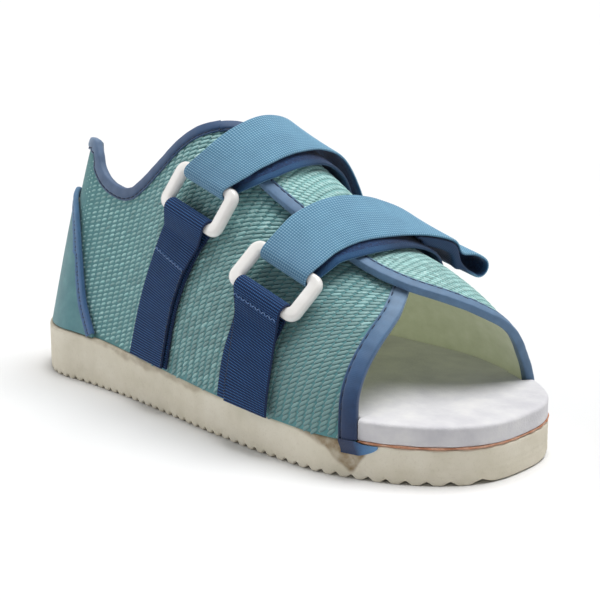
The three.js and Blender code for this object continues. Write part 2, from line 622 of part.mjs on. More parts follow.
function counterPlace(part, climb) {
  const edgeRun = Math.sign(part) * counterRun(Math.abs(part));
  const footRun = (counterEnd.run * part) / counterEnd.part;
  const run = THREE.MathUtils.lerp(footRun, edgeRun, climb);
  const { share, from, to } = COUNTER_LEFT;
  const height = THREE.MathUtils.lerp(1, share, ease((part - from) / (to - from)));
  const edgeZ = counterEnd.z + (counterZ(Math.abs(part)) - counterEnd.z) * height;
  return [run, climb * reachAtHeight(edgeRun, edgeZ)];
}

function counterPoint(run, reach, depth) {
  const point = standOff(run, reach, counterStand - depth);
  point.z = Math.max(point.z, soleTop(point.x) + GAP);
  return point;
}

const counterGrid = (depth) => counterParts.map((part) =>
  spread(0, 1, STATIONS.counterWall).map((climb) => counterPoint(...counterPlace(part, climb), depth)));
add("heel_counter", shell(counterGrid(0), counterGrid(CLOTH.counter)), COLOURS.counter, ROUGH.cloth);
const tapeParts = counterParts.filter((part) => part > -COUNTER_TAPE.right && part < COUNTER_TAPE.left);
const counterPlaces = tapeParts.map((part) => counterPlace(part, 1));
const counterPath = edgePath(counterPlaces, ([run, reach]) => counterPoint(run, reach, 0),
  ([run, reach]) => surfaceNormal(run, reach), CLOTH.leg);
add("counter_binding", binding(counterPath, CLOTH.counter), COLOURS.binding, ROUGH.cloth);

// Fastenings: webbing sewn into the edge of the sole holds each ring by its lower bar; the strap
// comes over from the left wall, turns round the upper bar and lies back on itself.
function ringGeometry() {
  const half = new THREE.Vector2(RING.inside / 2 + RING.end, RING.slot / 2 + RING.bar);
  const outline = new THREE.Shape();
  const inset = RING.round;
  const rounded = (path, x, y, radius) => {
    path.moveTo(-x + radius, -y);
    path.lineTo(x - radius, -y);
    path.absarc(x - radius, -y + radius, radius, -Math.PI / 2, 0, false);
    path.lineTo(x, y - radius);
    path.absarc(x - radius, y - radius, radius, 0, Math.PI / 2, false);
    path.lineTo(-x + radius, y);
    path.absarc(-x + radius, y - radius, radius, Math.PI / 2, Math.PI, false);
    path.lineTo(-x, -y + radius);
    path.absarc(-x + radius, -y + radius, radius, Math.PI, 1.5 * Math.PI, false);
    return path;
  };
  rounded(outline, half.x - inset, half.y - inset, RING.corner);
  const hole = rounded(new THREE.Path(), RING.inside / 2 + inset, RING.slot / 2 + inset, RING.corner / 3);
  outline.holes.push(hole);
  const depth = RING.thick - 2 * inset;
  const bevel = { bevelEnabled: true, bevelThickness: inset, bevelSize: inset, bevelSegments: 1 };
  const options = { depth, curveSegments: 3, ...bevel };
  return new THREE.ExtrudeGeometry(outline, options).translate(0, 0, -depth / 2);
}

function webbingFrames({ ringX, ringReach, webbing }, frame) {
  const { thick, part: partBelow, footReach, wrapDegrees } = WEBBING;
  const run = runAt(ringX, -1);
  const stepReach = 0.1;
  const perReach = surface(run, ringReach).distanceTo(surface(run, ringReach - stepReach)) / stepReach;
  const topReach = ringReach - (RING.slot / 2 + RING.bar + partBelow) / perReach;
  const under = GAP + thick / 2;
  const over = under + thick + GAP;
  const place = (climb, x, stand) => ({ reach: THREE.MathUtils.lerp(footReach, topReach, climb), x, stand });
  const outer = WEBBING_CLIMB.map(({ climb, outer: puff }, k) => place(climb, webbing.x[k], over + puff));
  const inner = WEBBING_CLIMB.map(({ climb, inner: puff, shift }, k) =>
    place(climb, webbing.x[k] + shift * webbing.underShift, under + puff)).reverse();
  const climbing = (t) => ({ foot: 1 - t, ring: t });
  const falling = (t) => climbing(1 - t);
  return [
    ...layerFrames(outer, STATIONS.webbing, climbing, frame.across, 1),
    ...foldFrames(frame, -1, thick, true, wrapDegrees),
    ...layerFrames(inner, STATIONS.webbing, falling, frame.across, -1),
  ];
}

function strapFrames({ inner, outer, tab }, frame) {
  const { thick, turnShare, wrapDegrees } = STRAP;
  const arriving = (t) => ({ foot: 1 - ease(t / turnShare), ring: ease(1 - (1 - t) / turnShare) });
  const leaving = (t) => ({ foot: 0, ring: 1 - ease(t / turnShare) });
  const under = layerFrames(inner, STATIONS.strapUnder, arriving, frame.across, -1);
  const over = layerFrames(outer, STATIONS.strapOver, leaving, frame.across, 1);
  const fold = foldFrames(frame, 1, thick, false, wrapDegrees);
  const end = tab ? tabFrames(over.at(-1), over.at(-2), tab) : [];
  return [...under, ...fold, ...over, ...end];
}

for (const fastening of FASTENINGS) {
  const frame = ringFrame(fastening);
  const basis = new THREE.Matrix4().makeBasis(frame.across, frame.up, frame.normal);
  basis.setPosition(frame.middle);
  const webbing = ribbon(webbingFrames(fastening, frame), WEBBING.width, WEBBING.thick);
  const strap = ribbon(strapFrames(fastening, frame), STRAP.width, STRAP.thick);
  add(`${fastening.name}_ring`, ringGeometry().applyMatrix4(basis), COLOURS.ring, ROUGH.plastic);
  add(`${fastening.name}_webbing`, webbing, COLOURS.webbing, ROUGH.cloth);
  add(`${fastening.name}_strap`, strap, COLOURS.strap, ROUGH.cloth);
}

export default shoe;
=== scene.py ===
import math
import bmesh
import bpy
import numpy as np
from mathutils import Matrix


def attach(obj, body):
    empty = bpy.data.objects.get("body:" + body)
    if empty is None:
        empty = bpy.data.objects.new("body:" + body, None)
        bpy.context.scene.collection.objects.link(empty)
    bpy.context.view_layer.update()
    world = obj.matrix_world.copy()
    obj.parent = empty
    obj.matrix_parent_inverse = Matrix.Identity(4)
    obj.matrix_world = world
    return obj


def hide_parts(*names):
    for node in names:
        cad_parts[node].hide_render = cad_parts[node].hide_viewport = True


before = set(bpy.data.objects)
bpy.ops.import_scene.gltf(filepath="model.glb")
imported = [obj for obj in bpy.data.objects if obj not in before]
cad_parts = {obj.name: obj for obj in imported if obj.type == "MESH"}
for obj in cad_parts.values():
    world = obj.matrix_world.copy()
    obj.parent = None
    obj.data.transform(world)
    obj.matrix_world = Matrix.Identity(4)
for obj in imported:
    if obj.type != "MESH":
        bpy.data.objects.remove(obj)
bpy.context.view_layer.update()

# Outsole: a wedge of firm cream foam, thick at the heel, cut to a round heel and a blunt toe. Its
# underside is moulded in ridges that run across it. The upper is glued to its rim, and the glue
# has left a tan stain there. Near the toe the band widens into painted shadow of the upper, which
# is painted darker on the near side.
SOLE_LENGTH = 290.0
HEEL_RADIUS = 37.0
BALL_HALF_WIDTH = 59.5
BALL_X = 220.0
TOE_POWER_X = 1.48
TOE_POWER_Y = 2.66
TOE_ARC = 105.0
HEEL_THICK = 24.3
TOE_THICK = 16.2
WEDGE_FROM = 60.0
WEDGE_TO = 250.0
RIDGES_EACH_WAY = 27
TREAD_PITCH = 5.6
TREAD_GROWTH = 0.06
TREAD_TIP = 2.0
TREAD_DEPTH = 1.7
HEEL_RISE = 4.5
HEEL_RISE_FROM = 14.0
TOE_RISE = 0.6
TOE_RISE_FROM = 12.0
CUT_LINES = (0.3, 0.47, 0.66)
CUT_LINE_HALF = 0.018
CUT_LINE_DEPTH = 0.16
CUT_LINES_FROM = 238.0
CUT_LINES_FADE = 14.0
# How far below the sole's top the tan band reaches, by station: glue stain, and near the toe painted shadow
# of the upper.
STAIN_AND_SHADOW_REACH = np.array([
    (0, 2.2), (40, 1.8), (70, 2.6), (85, 5.0), (100, 5.6), (118, 3.8), (135, 4.8), (150, 3.4), (170, 1.8),
    (200, 1.8), (215, 2.8), (226, 6.0), (234, 10.5), (240, 12.5), (245, 7.0), (248, 0.0)], float)
STAIN_AND_SHADOW_SOFT = 2.4


def linear(colour):
    channels = [int(colour[i:i + 2], 16) / 255.0 for i in (0, 2, 4)]
    bent = [c / 12.92 if c <= 0.04045 else ((c + 0.055) / 1.055) ** 2.4 for c in channels]
    return (*bent, 1.0)


def ease(part):
    part = np.clip(part, 0.0, 1.0)
    return part * part * (3.0 - 2.0 * part)


def rises(value, start, length):
    return ease((value - start) / length)


def unit(vectors):
    return vectors / np.maximum(np.linalg.norm(vectors, axis=-1, keepdims=True), 1e-12)


def to_frame(points):
    return (np.asarray(points, float) - np.array([SOLE_LENGTH / 2.0, 0.0, 0.0])) / 1000.0


def half_width(x):
    x = np.asarray(x, float)
    heel = np.sqrt(np.clip(HEEL_RADIUS ** 2 - (HEEL_RADIUS - x) ** 2, 0.0, None))
    widen = rises(x, HEEL_RADIUS, BALL_X - HEEL_RADIUS)
    middle = HEEL_RADIUS + (BALL_HALF_WIDTH - HEEL_RADIUS) * widen
    part = np.clip((x - BALL_X) / (SOLE_LENGTH - BALL_X), 0.0, 1.0)
    toe = BALL_HALF_WIDTH * (1.0 - part ** TOE_POWER_X) ** (1.0 / TOE_POWER_Y)
    return np.where(x < HEEL_RADIUS, heel, np.where(x < BALL_X, middle, toe))


def sole_top(x):
    part = np.clip((np.asarray(x, float) - WEDGE_FROM) / (WEDGE_TO - WEDGE_FROM), 0.0, 1.0)
    return HEEL_THICK + (TOE_THICK - HEEL_THICK) * part


def half_outline(step):
    heel_turn = np.linspace(0.0, np.pi / 2.0, int(HEEL_RADIUS * np.pi / 2.0 / step))
    heel = np.stack([HEEL_RADIUS * (1.0 - np.cos(heel_turn)), HEEL_RADIUS * np.sin(heel_turn)], -1)
    side_x = np.linspace(HEEL_RADIUS, BALL_X, int((BALL_X - HEEL_RADIUS) / step))[1:]
    toe_turn = np.linspace(0.0, np.pi / 2.0, int(TOE_ARC / step))[1:]
    toe_x = BALL_X + (SOLE_LENGTH - BALL_X) * np.sin(toe_turn) ** (2.0 / TOE_POWER_X)
    rest_x = np.concatenate([side_x, toe_x])
    outline = np.concatenate([heel, np.stack([rest_x, half_width(rest_x)], -1)])
    outline[0] = (0.0, 0.0)
    outline[-1] = (SOLE_LENGTH, 0.0)
    return outline


def outline_normals(outline):
    mirrored_ends = np.concatenate([[outline[1] * (1, -1)], outline, [outline[-2] * (1, -1)]])
    along = unit(mirrored_ends[2:] - mirrored_ends[:-2])
    return np.stack([-along[:, 1], along[:, 0]], -1)


def placed(name, data):
    made = bpy.data.objects.new(name, data)
    bpy.context.scene.collection.objects.link(made)
    return made


def made_object(name, points, faces, materials):
    mesh = bpy.data.meshes.new(name)
    mesh.from_pydata(to_frame(points).tolist(), [], faces)
    for material in materials:
        mesh.materials.append(material)
    return placed(name, mesh)


def smoothed(piece, angle_degrees):
    piece.data.shade_smooth()
    piece.data.set_sharp_from_angle(angle=math.radians(angle_degrees))


def closed_up(piece):
    welded = bmesh.new()
    welded.from_mesh(piece.data)
    bmesh.ops.remove_doubles(welded, verts=welded.verts, dist=2e-6)
    bmesh.ops.dissolve_degenerate(welded, edges=welded.edges, dist=1e-6)
    bmesh.ops.recalc_face_normals(welded, faces=welded.faces)
    welded.to_mesh(piece.data)
    welded.free()


def point_values(mesh, name, values):
    attribute = mesh.attributes.new(name, "FLOAT", "POINT")
    attribute.data.foreach_set("value", np.asarray(values, np.float32).ravel())


def layered_slab(outline_sides, levels, low, high, across, crown=0.0, jitter=0.0):
    loops = []
    for side in (1.0, -1.0):
        plan, normal = outline_sides[side]
        wall = []
        for share, inset in levels:
            moved = plan - normal * np.broadcast_to(inset + jitter, len(plan))[:, None]
            height = low + (high - low) * share
            wall.append(np.stack([moved[:, 0], side * moved[:, 1], height], -1))
        loops.append(wall)
    left, right = loops
    parts = np.linspace(0.0, 1.0, across + 2)[1:-1]
    top = []
    for part in parts:
        lid = left[-1] * (1.0 - part) + right[-1] * part
        lid[:, 2] += crown * 4.0 * part * (1.0 - part)
        top.append(lid)
    bottom = [right[0] * (1.0 - part) + left[0] * part for part in parts]
    points = np.stack(left + top + right[::-1] + bottom, 1)
    count, width = points.shape[:2]
    faces = []
    for near in range(0, (count - 1) * width, width):
        far = near + width
        for column in range(width):
            following = (column + 1) % width
            faces.append((near + column, far + column, far + following, near + following))
    return points, faces


def material_with(name, roughness, **shader_values):
    material = bpy.data.materials.new(name)
    material.use_nodes = True
    shader = material.node_tree.nodes["Principled BSDF"]
    shader.inputs["Roughness"].default_value = roughness
    for label, value in shader_values.items():
        shader.inputs[label.replace("_", " ")].default_value = value
    return material


def tree_node(tree, kind, inputs=None, **settings):
    made = tree.nodes.new(kind)
    for label, value in settings.items():
        setattr(made, label, value)
    for label, source in (inputs or {}).items():
        if isinstance(source, bpy.types.NodeSocket):
            tree.links.new(source, made.inputs[label])
        else:
            made.inputs[label].default_value = source
    return made


def node(material, kind, inputs=None, **settings):
    return tree_node(material.node_tree, "ShaderNode" + kind, inputs, **settings)


def object_place(material):
    return node(material, "TexCoord").outputs["Object"]


def painted(material, name):
    return node(material, "Attribute", attribute_name=name).outputs["Fac"]


def worked(material, operation, *sources):
    return node(material, "Math", dict(enumerate(sources)), operation=operation).outputs[0]


def ramp(material, source, stops):
    made = node(material, "ValToRGB", {"Fac": source})
    elements = made.color_ramp.elements
    while len(elements) < len(stops):
        elements.new(0.5)
    for element, (position, colour) in zip(elements, stops):
        element.position = position
        element.color = linear(colour)
    return made.outputs["Color"]


def mixed(material, factor, first, second, blend="MIX"):
    inputs = {0: factor, 6: first, 7: second}
    return node(material, "Mix", inputs, data_type="RGBA", blend_type=blend).outputs[2]


def grainy(material, place, scale, detail=3.0):
    inputs = {"Vector": place, "Scale": scale, "Detail": detail, "Roughness": 0.6}
    return node(material, "TexNoise", inputs).outputs["Fac"]


def speckled(material, place, scale, detail, *stops):
    return ramp(material, grainy(material, place, scale, detail), stops)


def dress(material, colour, height=None, strength=0.3, distance=0.0003, rough=None):
    shader = material.node_tree.nodes["Principled BSDF"]
    sources = {"Base Color": colour, "Roughness": rough}
    if height is not None:
        bump = node(material, "Bump", {"Height": height, "Strength": strength, "Distance": distance})
        sources["Normal"] = bump.outputs["Normal"]
    for label, source in sources.items():
        if source is not None:
            material.node_tree.links.new(source, shader.inputs[label])
    return material


def finished(piece, place):
    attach(piece, "root")
    if place:
        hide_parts(place)


def tread_height(x):
    count = np.arange(-RIDGES_EACH_WAY, RIDGES_EACH_WAY + 1)
    spread = np.where(count > 0, TREAD_GROWTH * count ** 2, 0.0)
    ridges = SOLE_LENGTH / 2.0 + TREAD_PITCH * count + spread
    valleys = (ridges[1:] + ridges[:-1]) / 2.0
    index = np.searchsorted(valleys, x)
    ridge = ridges[index]
    behind = valleys[np.maximum(index - 1, 0)]
    ahead = valleys[np.minimum(index, len(valleys) - 1)]
    half = np.abs(np.where(x < ridge, behind, ahead) - ridge)
    heel = np.maximum(0.0, HEEL_RISE_FROM - ridge) / HEEL_RISE_FROM
    toe = np.maximum(0.0, ridge - SOLE_LENGTH + TOE_RISE_FROM) / TOE_RISE_FROM
    flank = (np.abs(x - ridge) - TREAD_TIP / 2.0) / (half - TREAD_TIP / 2.0)
    return HEEL_RISE * heel ** 2 + TOE_RISE * toe ** 2 + TREAD_DEPTH * ease(flank)


def through(keys, values):
    keys = np.asarray(keys, float)
    values = np.asarray(values, float)
    steps = np.diff(keys)
    slopes = np.diff(values) / steps
    tangents = np.concatenate([slopes[:1], np.zeros(len(keys) - 2), slopes[-1:]])
    product = slopes[:-1] * slopes[1:]
    total = slopes[:-1] + slopes[1:]
    tangents[1:-1] = np.where(product > 0.0, 2.0 * product / np.where(product > 0.0, total, 1.0), 0.0)

    def curve(at):
        at = np.clip(np.asarray(at, float), keys[0], keys[-1])
        i = np.clip(np.searchsorted(keys, at, side="right") - 1, 0, len(steps) - 1)
        t = (at - keys[i]) / steps[i]
        swing = t * (1.0 - t) * steps[i] * ((1.0 - t) * tangents[i] - t * tangents[i + 1])
        return values[i] + (values[i + 1] - values[i]) * ease(t) + swing
    return curve


def outsole_foam():
    material = material_with("outsole foam", 0.82)
    place = object_place(material)
    cream = speckled(material, place, 55.0, 3.0, (0.3, "d7d0bc"), (0.5, "e0d9c7"), (0.72, "e7e1d1"))
    specks = speckled(material, place, 900.0, 2.0, (0.3, "707070"), (0.42, "000000"))
    flecked = mixed(material, specks, cream, linear("b0a48c"))
    broken = speckled(material, place, 130.0, 4.0, (0.3, "a8a8a8"), (0.6, "ffffff"))
    # The band mask is the tan glue stain and, near the toe, painted shadow of the upper.
    edge = worked(material, "MULTIPLY", painted(material, "glue_and_shadow"), broken)
    stained_and_shaded = mixed(material, edge, flecked, linear("7c6238"))
    return dress(material, stained_and_shaded, grainy(material, place, 1500.0), 0.35, 0.0004)


outline = half_outline(0.5)
normals = outline_normals(outline)
along_sole, half_across = outline.T
cut_marks = 0.10 * np.sin(along_sole / 6.1) + 0.07 * np.sin(along_sole / 2.3 + 1.0)
toe_lines = CUT_LINE_DEPTH * rises(along_sole, CUT_LINES_FROM, CUT_LINES_FADE)
sole_levels = [(0.0, 0.8), (0.012, 0.35), (0.035, 0.08), (0.08, 0.0)]
for share in np.linspace(0.12, 0.9, 19):
    lines = max(math.exp(-((share - at) / CUT_LINE_HALF) ** 2) for at in CUT_LINES)
    sole_levels.append((share, lines * toe_lines))
sole_levels += [(0.94, 0.02), (0.97, 0.18), (0.99, 0.5), (1.0, 1.1)]
sides = {1.0: (outline, normals), -1.0: (outline, normals)}
points, faces = layered_slab(
    sides, sole_levels, tread_height(along_sole), sole_top(along_sole), 3, jitter=cut_marks)
outsole = made_object("foam_outsole", points.reshape(-1, 3), faces, [outsole_foam()])
x, y, z = np.moveaxis(points, -1, 0)
stain_and_shadow_reach = through(*STAIN_AND_SHADOW_REACH.T)(x)
ragged = 0.5 * np.sin(x / 8.7) + 0.45 * np.sin(x / 3.1 + 0.7) + 0.3 * np.sin(x / 1.3)
glue_and_shadow = ease((z - sole_top(x) + stain_and_shadow_reach + ragged * stain_and_shadow_reach / 5.0) / STAIN_AND_SHADOW_SOFT)
# Painted shadow: the toe end of the band is made darker on the near side only.
painted_toe_shadow = rises(x, 212.0, 18.0) * (y < 0.0)
point_values(outsole.data, "glue_and_shadow", (0.5 + 0.45 * painted_toe_shadow) * glue_and_shadow * (1.0 - rises(x, 245.0, 5.0)))
closed_up(outsole)
smoothed(outsole, 35.0)
finished(outsole, "outsole")

# Bond layer: a thin line of copper-coloured cement between the outsole and the insole. It shows
# round the open toe, where it has squeezed out a little in uneven blobs.
GAP = 0.3
BOND_THICK = 0.9
INSOLE_THICK = 9.0
BOND_BASE = GAP / 2.0
INSOLE_BASE = BOND_BASE + BOND_THICK + GAP / 2.0
CLOTH_WALL = 2.4
TAPE_THICK = 0.8
TOE_TAPE_LEG = 7.6
RIGHT_FRONT_X = 241.2
LEFT_FRONT_X = 263.0
UPPER_SECTIONS = np.array([
    # station, crest height, crest sideways, lean, out, belly
    (37, 150, 0, 0.26, -3.5, 3.6), (75, 152, 0, 0.24, -1.0, 2.2), (107, 145, 0, 0.17, 1.0, 1.0),
    (121, 138, 1, 0.13, 1.5, 0.5), (155, 118.5, 4, 0.1, 2.0, 0), (180, 99.5, 7, 0.08, 2.0, 0),
    (204, 84, 9, 0.06, 1.5, 0), (225, 75.5, 10, 0.05, 1.0, 0.5), (243, 66.5, 10, 0.05, 0.6, 1.0),
    (262, 54, 10, 0.05, 0.5, 1.0), (275, 46, 10, 0.05, 0.5, 1.0),
], float)
stations, *columns = UPPER_SECTIONS.T
crest_z, crest_y, wall_lean, wall_out, wall_belly = (through(stations, column) for column in columns)


def insole_outline(side, spare):
    front = RIGHT_FRONT_X + GAP if side < 0 else LEFT_FRONT_X + TAPE_THICK + 3.0 * GAP
    near_tape = np.where(along_sole > front - 2.0 * TOE_TAPE_LEG, TAPE_THICK + GAP, 0.0)
    leaning = wall_lean(along_sole) * (INSOLE_BASE + INSOLE_THICK)
    inset = np.maximum(0.0, CLOTH_WALL + near_tape + 5.0 * GAP + leaning - wall_out(along_sole))
    inset = np.where(along_sole > front, 0.0, inset)
    edge = outline - normals * (inset + spare)[:, None]
    edge[0, 1] = 0.0
    edge[-1, 1] = 0.0
    return edge, normals


def bond_cement():
    material = material_with("bond cement", 0.45)
    place = object_place(material)
    blotch = grainy(material, place, 240.0, 4.0)
    # Blotchy copper tone; its palest end falls where the cement is glossiest, a painted highlight.
    copper = ramp(material, blotch, [(0.32, "a9693f"), (0.5, "c48a6c"), (0.66, "dcb29a")])
    wet = ramp(material, blotch, [(0.4, "b8b8b8"), (0.65, "4c4c4c")])
    return dress(material, copper, grainy(material, place, 700.0), 0.5, 0.0004, wet)


squeeze = 0.22 * np.sin(along_sole / 1.9) + 0.16 * np.sin(half_across / 1.3) - 0.1
blobs = 0.125 * np.sin(along_sole / 2.7) * np.sin(half_across / 3.3)
bond_sides = {side: insole_outline(side, squeeze) for side in (1.0, -1.0)}
bond_levels = [(0.0, 0.35), (0.2, 0.08), (0.5, 0.0), (0.8, 0.08), (1.0, 0.35)]
base = sole_top(along_sole) + BOND_BASE
points, faces = layered_slab(bond_sides, bond_levels, base, base + (BOND_THICK + blobs), 3)
bond = made_object("cement_line", points.reshape(-1, 3), faces, [bond_cement()])
closed_up(bond)
smoothed(bond, 40.0)
finished(bond, "bond_layer")

# Insole: a pad of soft white foam, laid in the shoe with the upper standing round it. In front of
# the upper it comes out to the edge of the sole, with its cut side showing at the toe.
INSOLE_SPARE = 0.2
INSOLE_CROWN = 0.35
CROWN_RUN = 40.0


def insole_foam():
    material = material_with("insole foam", 0.9, Sheen_Weight=0.15)
    place = object_place(material)
    white = speckled(material, place, 70.0, 3.0, (0.3, "c9c8cd"), (0.55, "d6d5d8"), (0.75, "e0dfdf"))
    cells = node(material, "TexVoronoi", {"Vector": place, "Scale": 900.0}).outputs["Distance"]
    return dress(material, white, cells, 0.25, 0.0004)


insole_sides = {side: insole_outline(side, INSOLE_SPARE) for side in (1.0, -1.0)}
insole_levels = [(0.0, 0.4), (0.05, 0.1), (0.12, 0.0)]
insole_levels += [(share, 0.12 * math.sin(share * math.pi)) for share in np.linspace(0.2, 0.75, 5)]
insole_levels += [(0.84, 0.06), (0.91, 0.3), (0.96, 0.75), (0.99, 1.4), (1.0, 2.2)]
base = sole_top(along_sole) + INSOLE_BASE
pressed = 0.2 * (0.25 * np.sin(along_sole / 17.0) + 0.12 * np.sin(along_sole / 6.3))
crown = INSOLE_CROWN * ease(along_sole / CROWN_RUN) * ease((SOLE_LENGTH - along_sole) / CROWN_RUN)
points, faces = layered_slab(insole_sides, insole_levels, base, base + INSOLE_THICK + pressed, 11, crown)
insole = made_object("foam_insole", points.reshape(-1, 3), faces, [insole_foam()])
closed_up(insole)
smoothed(insole, 50.0)
finished(insole, "insole")

# Right quarter: one wall of teal spacer mesh, knitted in rows of oval knobs, with a pale lining.
# It is glued round the rim of the sole from the heel to the toe, and its flap crosses the instep
# under the left one.
HEEL_RUN = HEEL_RADIUS * math.pi / 2.0
RIGHT_TOPLINE = np.array([
    (0, 116), (18, 118.5), (38, 119.3), (51, 119.3), (57, 117.6), (60.5, 113), (63, 108), (66, 104.8),
    (70, 102), (76, 99.8), (84, 98.7), (90, 99.9), (96, 104), (102.5, 109.7), (110, 116.8), (122, 128.3),
    (132, 134.5), (139.1, 136.5)], float)
LEFT_TOPLINE = np.array([
    (0, 116), (4, 111), (9, 102), (15, 94), (22, 89), (32, 87), (50, 87), (66, 91), (90, 103), (115, 118),
    (132, 127), (145.1, 132)], float)
RIGHT_FLAP = np.array([
    (118, 0.84), (124, 0.94), (132, 1.06), (145, 1.12), (200, 1.14), (222, 1.05), (234, 0.95),
    (241.2, 0.88)], float)
LEFT_FLAP = np.array([
    (124, 0.82), (130, 0.95), (136, 1.12), (141, 1.26), (155, 1.28), (176, 1.25), (200, 1.215), (218, 1.2),
    (230, 1.165), (240, 1.1), (249, 1.01), (256, 0.88), (261, 0.68), (263, 0.5)], float)
FRONT_LEAN = np.array([
    (0, 0), (0.12, 1), (0.24, 2.7), (0.36, 3.5), (0.48, 3.8), (0.6, 4.3), (0.7, 5.6), (0.78, 8.4),
    (0.86, 12.2), (1.15, 24)], float)
LEAN_FROM = 195.0
LEAN_TO = 241.0
TAPE_FOLD = 0.6
TAPE_LEG = 5.5
LIFT_HEIGHT = CLOTH_WALL + TAPE_THICK + TAPE_FOLD + 2.0 * GAP
RIGHT_FRONT_RUN = -262.3
MESH_SINK = 0.35
MESH_COLUMNS = 170
MESH_ROWS = 76
KNOB_PITCH = (4.44, 2.31)
KNOB_SHIFT = 0.06
KNOB_TILT = 19.0
KNOB_CLIMB_MAX = 190.0
WOVEN_FROM = 80.0
WOVEN_FADE = 60.0
UNDER_FLAP_FROM = 140.0
UNDER_FLAP_REACH = 0.84
COUNTER_EDGE = np.array([
    (0, 95), (17, 93.5), (33, 90), (45, 84), (53, 75), (58.5, 64), (62.5, 52), (67, 40.5), (77, 26)], float)
COUNTER_RUN, COUNTER_FOOT = COUNTER_EDGE[-1]
UNDER_COUNTER = 6.0

topline_right = through(*RIGHT_TOPLINE.T)
topline_left = through(*LEFT_TOPLINE.T)
flap_right = through(*RIGHT_FLAP.T)
flap_left = through(*LEFT_FLAP.T)
front_lean = through(*FRONT_LEAN.T)
counter_height_at = through(*COUNTER_EDGE.T)


def station_x(run):
    return HEEL_RADIUS + np.abs(run) - HEEL_RUN


def run_at(x, side):
    return side * (x - HEEL_RADIUS + HEEL_RUN)


def wall_surface(run, reach):
    run, reach = np.broadcast_arrays(np.asarray(run, float), np.asarray(reach, float))
    over = reach > 1.0
    run = np.where(over, -run, run)
    reach = np.where(over, 2.0 - reach, reach)
    side = np.where(run < 0.0, -1.0, 1.0)
    heel = np.abs(run) < HEEL_RUN
    x = np.maximum(HEEL_RADIUS, station_x(run))
    angle = np.where(heel, run / HEEL_RADIUS, side * np.pi / 2.0)
    out_x = -np.cos(angle)
    out_y = np.sin(angle)
    foot_distance = np.where(heel, HEEL_RADIUS, half_width(x)) + wall_out(x)
    foot_x = x + out_x * foot_distance
    across = foot_distance - np.where(heel, 0.0, side * crest_y(x))
    foot_z = sole_top(foot_x) + GAP
    rise = crest_z(x) - foot_z
    turn = reach * np.pi / 2.0
    leaning = wall_lean(x) * rise
    inward = leaning * np.sin(turn) + (across - leaning) * (1.0 - np.cos(turn))
    inward = inward - wall_belly(x) * np.sin(2.0 * turn)
    height = foot_z + rise * np.sin(turn)
    return np.stack([foot_x - out_x * inward, out_y * (foot_distance - inward), height], -1)


def wall_normal(run, reach):
    along_run = wall_surface(run + 0.4, reach) - wall_surface(run - 0.4, reach)
    below = np.maximum(0.0, np.asarray(reach, float) - 0.01)
    along_reach = wall_surface(run, np.asarray(reach, float) + 0.01) - wall_surface(run, below)
    return unit(np.cross(along_reach, along_run))


def stand_off(run, reach, stand):
    return wall_surface(run, reach) + wall_normal(run, reach) * np.asarray(stand, float)[..., None]


def above_sole(points):
    points[..., 2] = np.maximum(points[..., 2], sole_top(points[..., 0]) + GAP)
    return points


def reach_at_height(run, z):
    x = np.maximum(HEEL_RADIUS, station_x(run))
    foot_z = sole_top(x) + GAP
    share = np.clip((z - foot_z) / (crest_z(x) - foot_z), 0.0, 1.0)
    return np.arcsin(share) / (np.pi / 2.0)


def edge_reach(run):
    run = np.asarray(run, float)
    x = station_x(run)
    top = np.where(run < 0.0, topline_right(-run), topline_left(run))
    flap = np.where(run < 0.0, flap_right(x), flap_left(x))
    start = np.where(run < 0.0, RIGHT_FLAP[0, 0], LEFT_FLAP[0, 0])
    return np.where(x >= start, flap, reach_at_height(run, top))


def flap_lift(run, reach):
    over_instep = rises(np.asarray(reach, float), 0.35, 0.49) * rises(station_x(run), 80.0, 38.0)
    return np.where(np.asarray(run, float) < 0.0, 0.0, LIFT_HEIGHT * over_instep)


def leaning_run(column, reach):
    lean = front_lean(reach) * rises(station_x(column), LEAN_FROM, LEAN_TO - LEAN_FROM)
    return np.where(column > 0.0, column, column + lean)


def upper_point(column, reach, depth=0.0):
    run = leaning_run(column, reach)
    return above_sole(stand_off(run, reach, flap_lift(run, reach) - depth))


def shell_object(name, outer, inner, uv, materials):
    rows, columns = outer.shape[:2]
    total = rows * columns
    index = np.arange(total).reshape(rows, columns)
    low_left, low_right = index[:-1, :-1].ravel(), index[:-1, 1:].ravel()
    high_left, high_right = index[1:, :-1].ravel(), index[1:, 1:].ravel()
    face_out = np.stack([low_left, high_left, high_right, low_right], -1)
    face_in = np.stack([low_left, low_right, high_right, high_left], -1) + total
    border = np.concatenate([index[0, :], index[1:, -1], index[-1, -2::-1], index[-2:0:-1, 0]])
    following = np.roll(border, -1)
    rim = np.stack([border, following, following + total, border + total], -1)
    faces = np.concatenate([face_out, face_in, rim])
    points = np.concatenate([outer.reshape(-1, 3), inner.reshape(-1, 3)])
    volume = 0.0
    for picked in ([0, 1, 2], [0, 2, 3]):
        corner = points[faces[:, picked]]
        volume += np.sum(np.cross(corner[:, 0], corner[:, 1]) * corner[:, 2])
    if volume < 0.0:
        faces = faces[:, ::-1]
    piece = made_object(name, points, faces.tolist(), materials)
    last = len(materials) - 1
    kinds = np.repeat([0, min(1, last), min(2, last)], [len(face_out), len(face_in), len(rim)])
    piece.data.polygons.foreach_set("material_index", kinds.astype(np.int32))
    layer = piece.data.uv_layers.new(name="cloth")
    flat = np.concatenate([uv.reshape(-1, 2), uv.reshape(-1, 2)])[faces.ravel()] / 1000.0
    layer.data.foreach_set("uv", flat.astype(np.float32).ravel())
    smoothed(piece, 60.0)
    return piece


def run_lengths(grid, axis):
    steps = np.linalg.norm(np.diff(grid, axis=axis), axis=-1)
    start = np.zeros_like(np.take(steps, [0], axis=axis))
    return np.cumsum(np.concatenate([start, steps], axis=axis), axis=axis)


def cloth_area(grid):
    along = np.diff(grid, axis=0)[:, :-1]
    across = np.diff(grid, axis=1)[:-1]
    return float(np.sum(np.linalg.norm(np.cross(along, across), axis=-1))) / 1e6


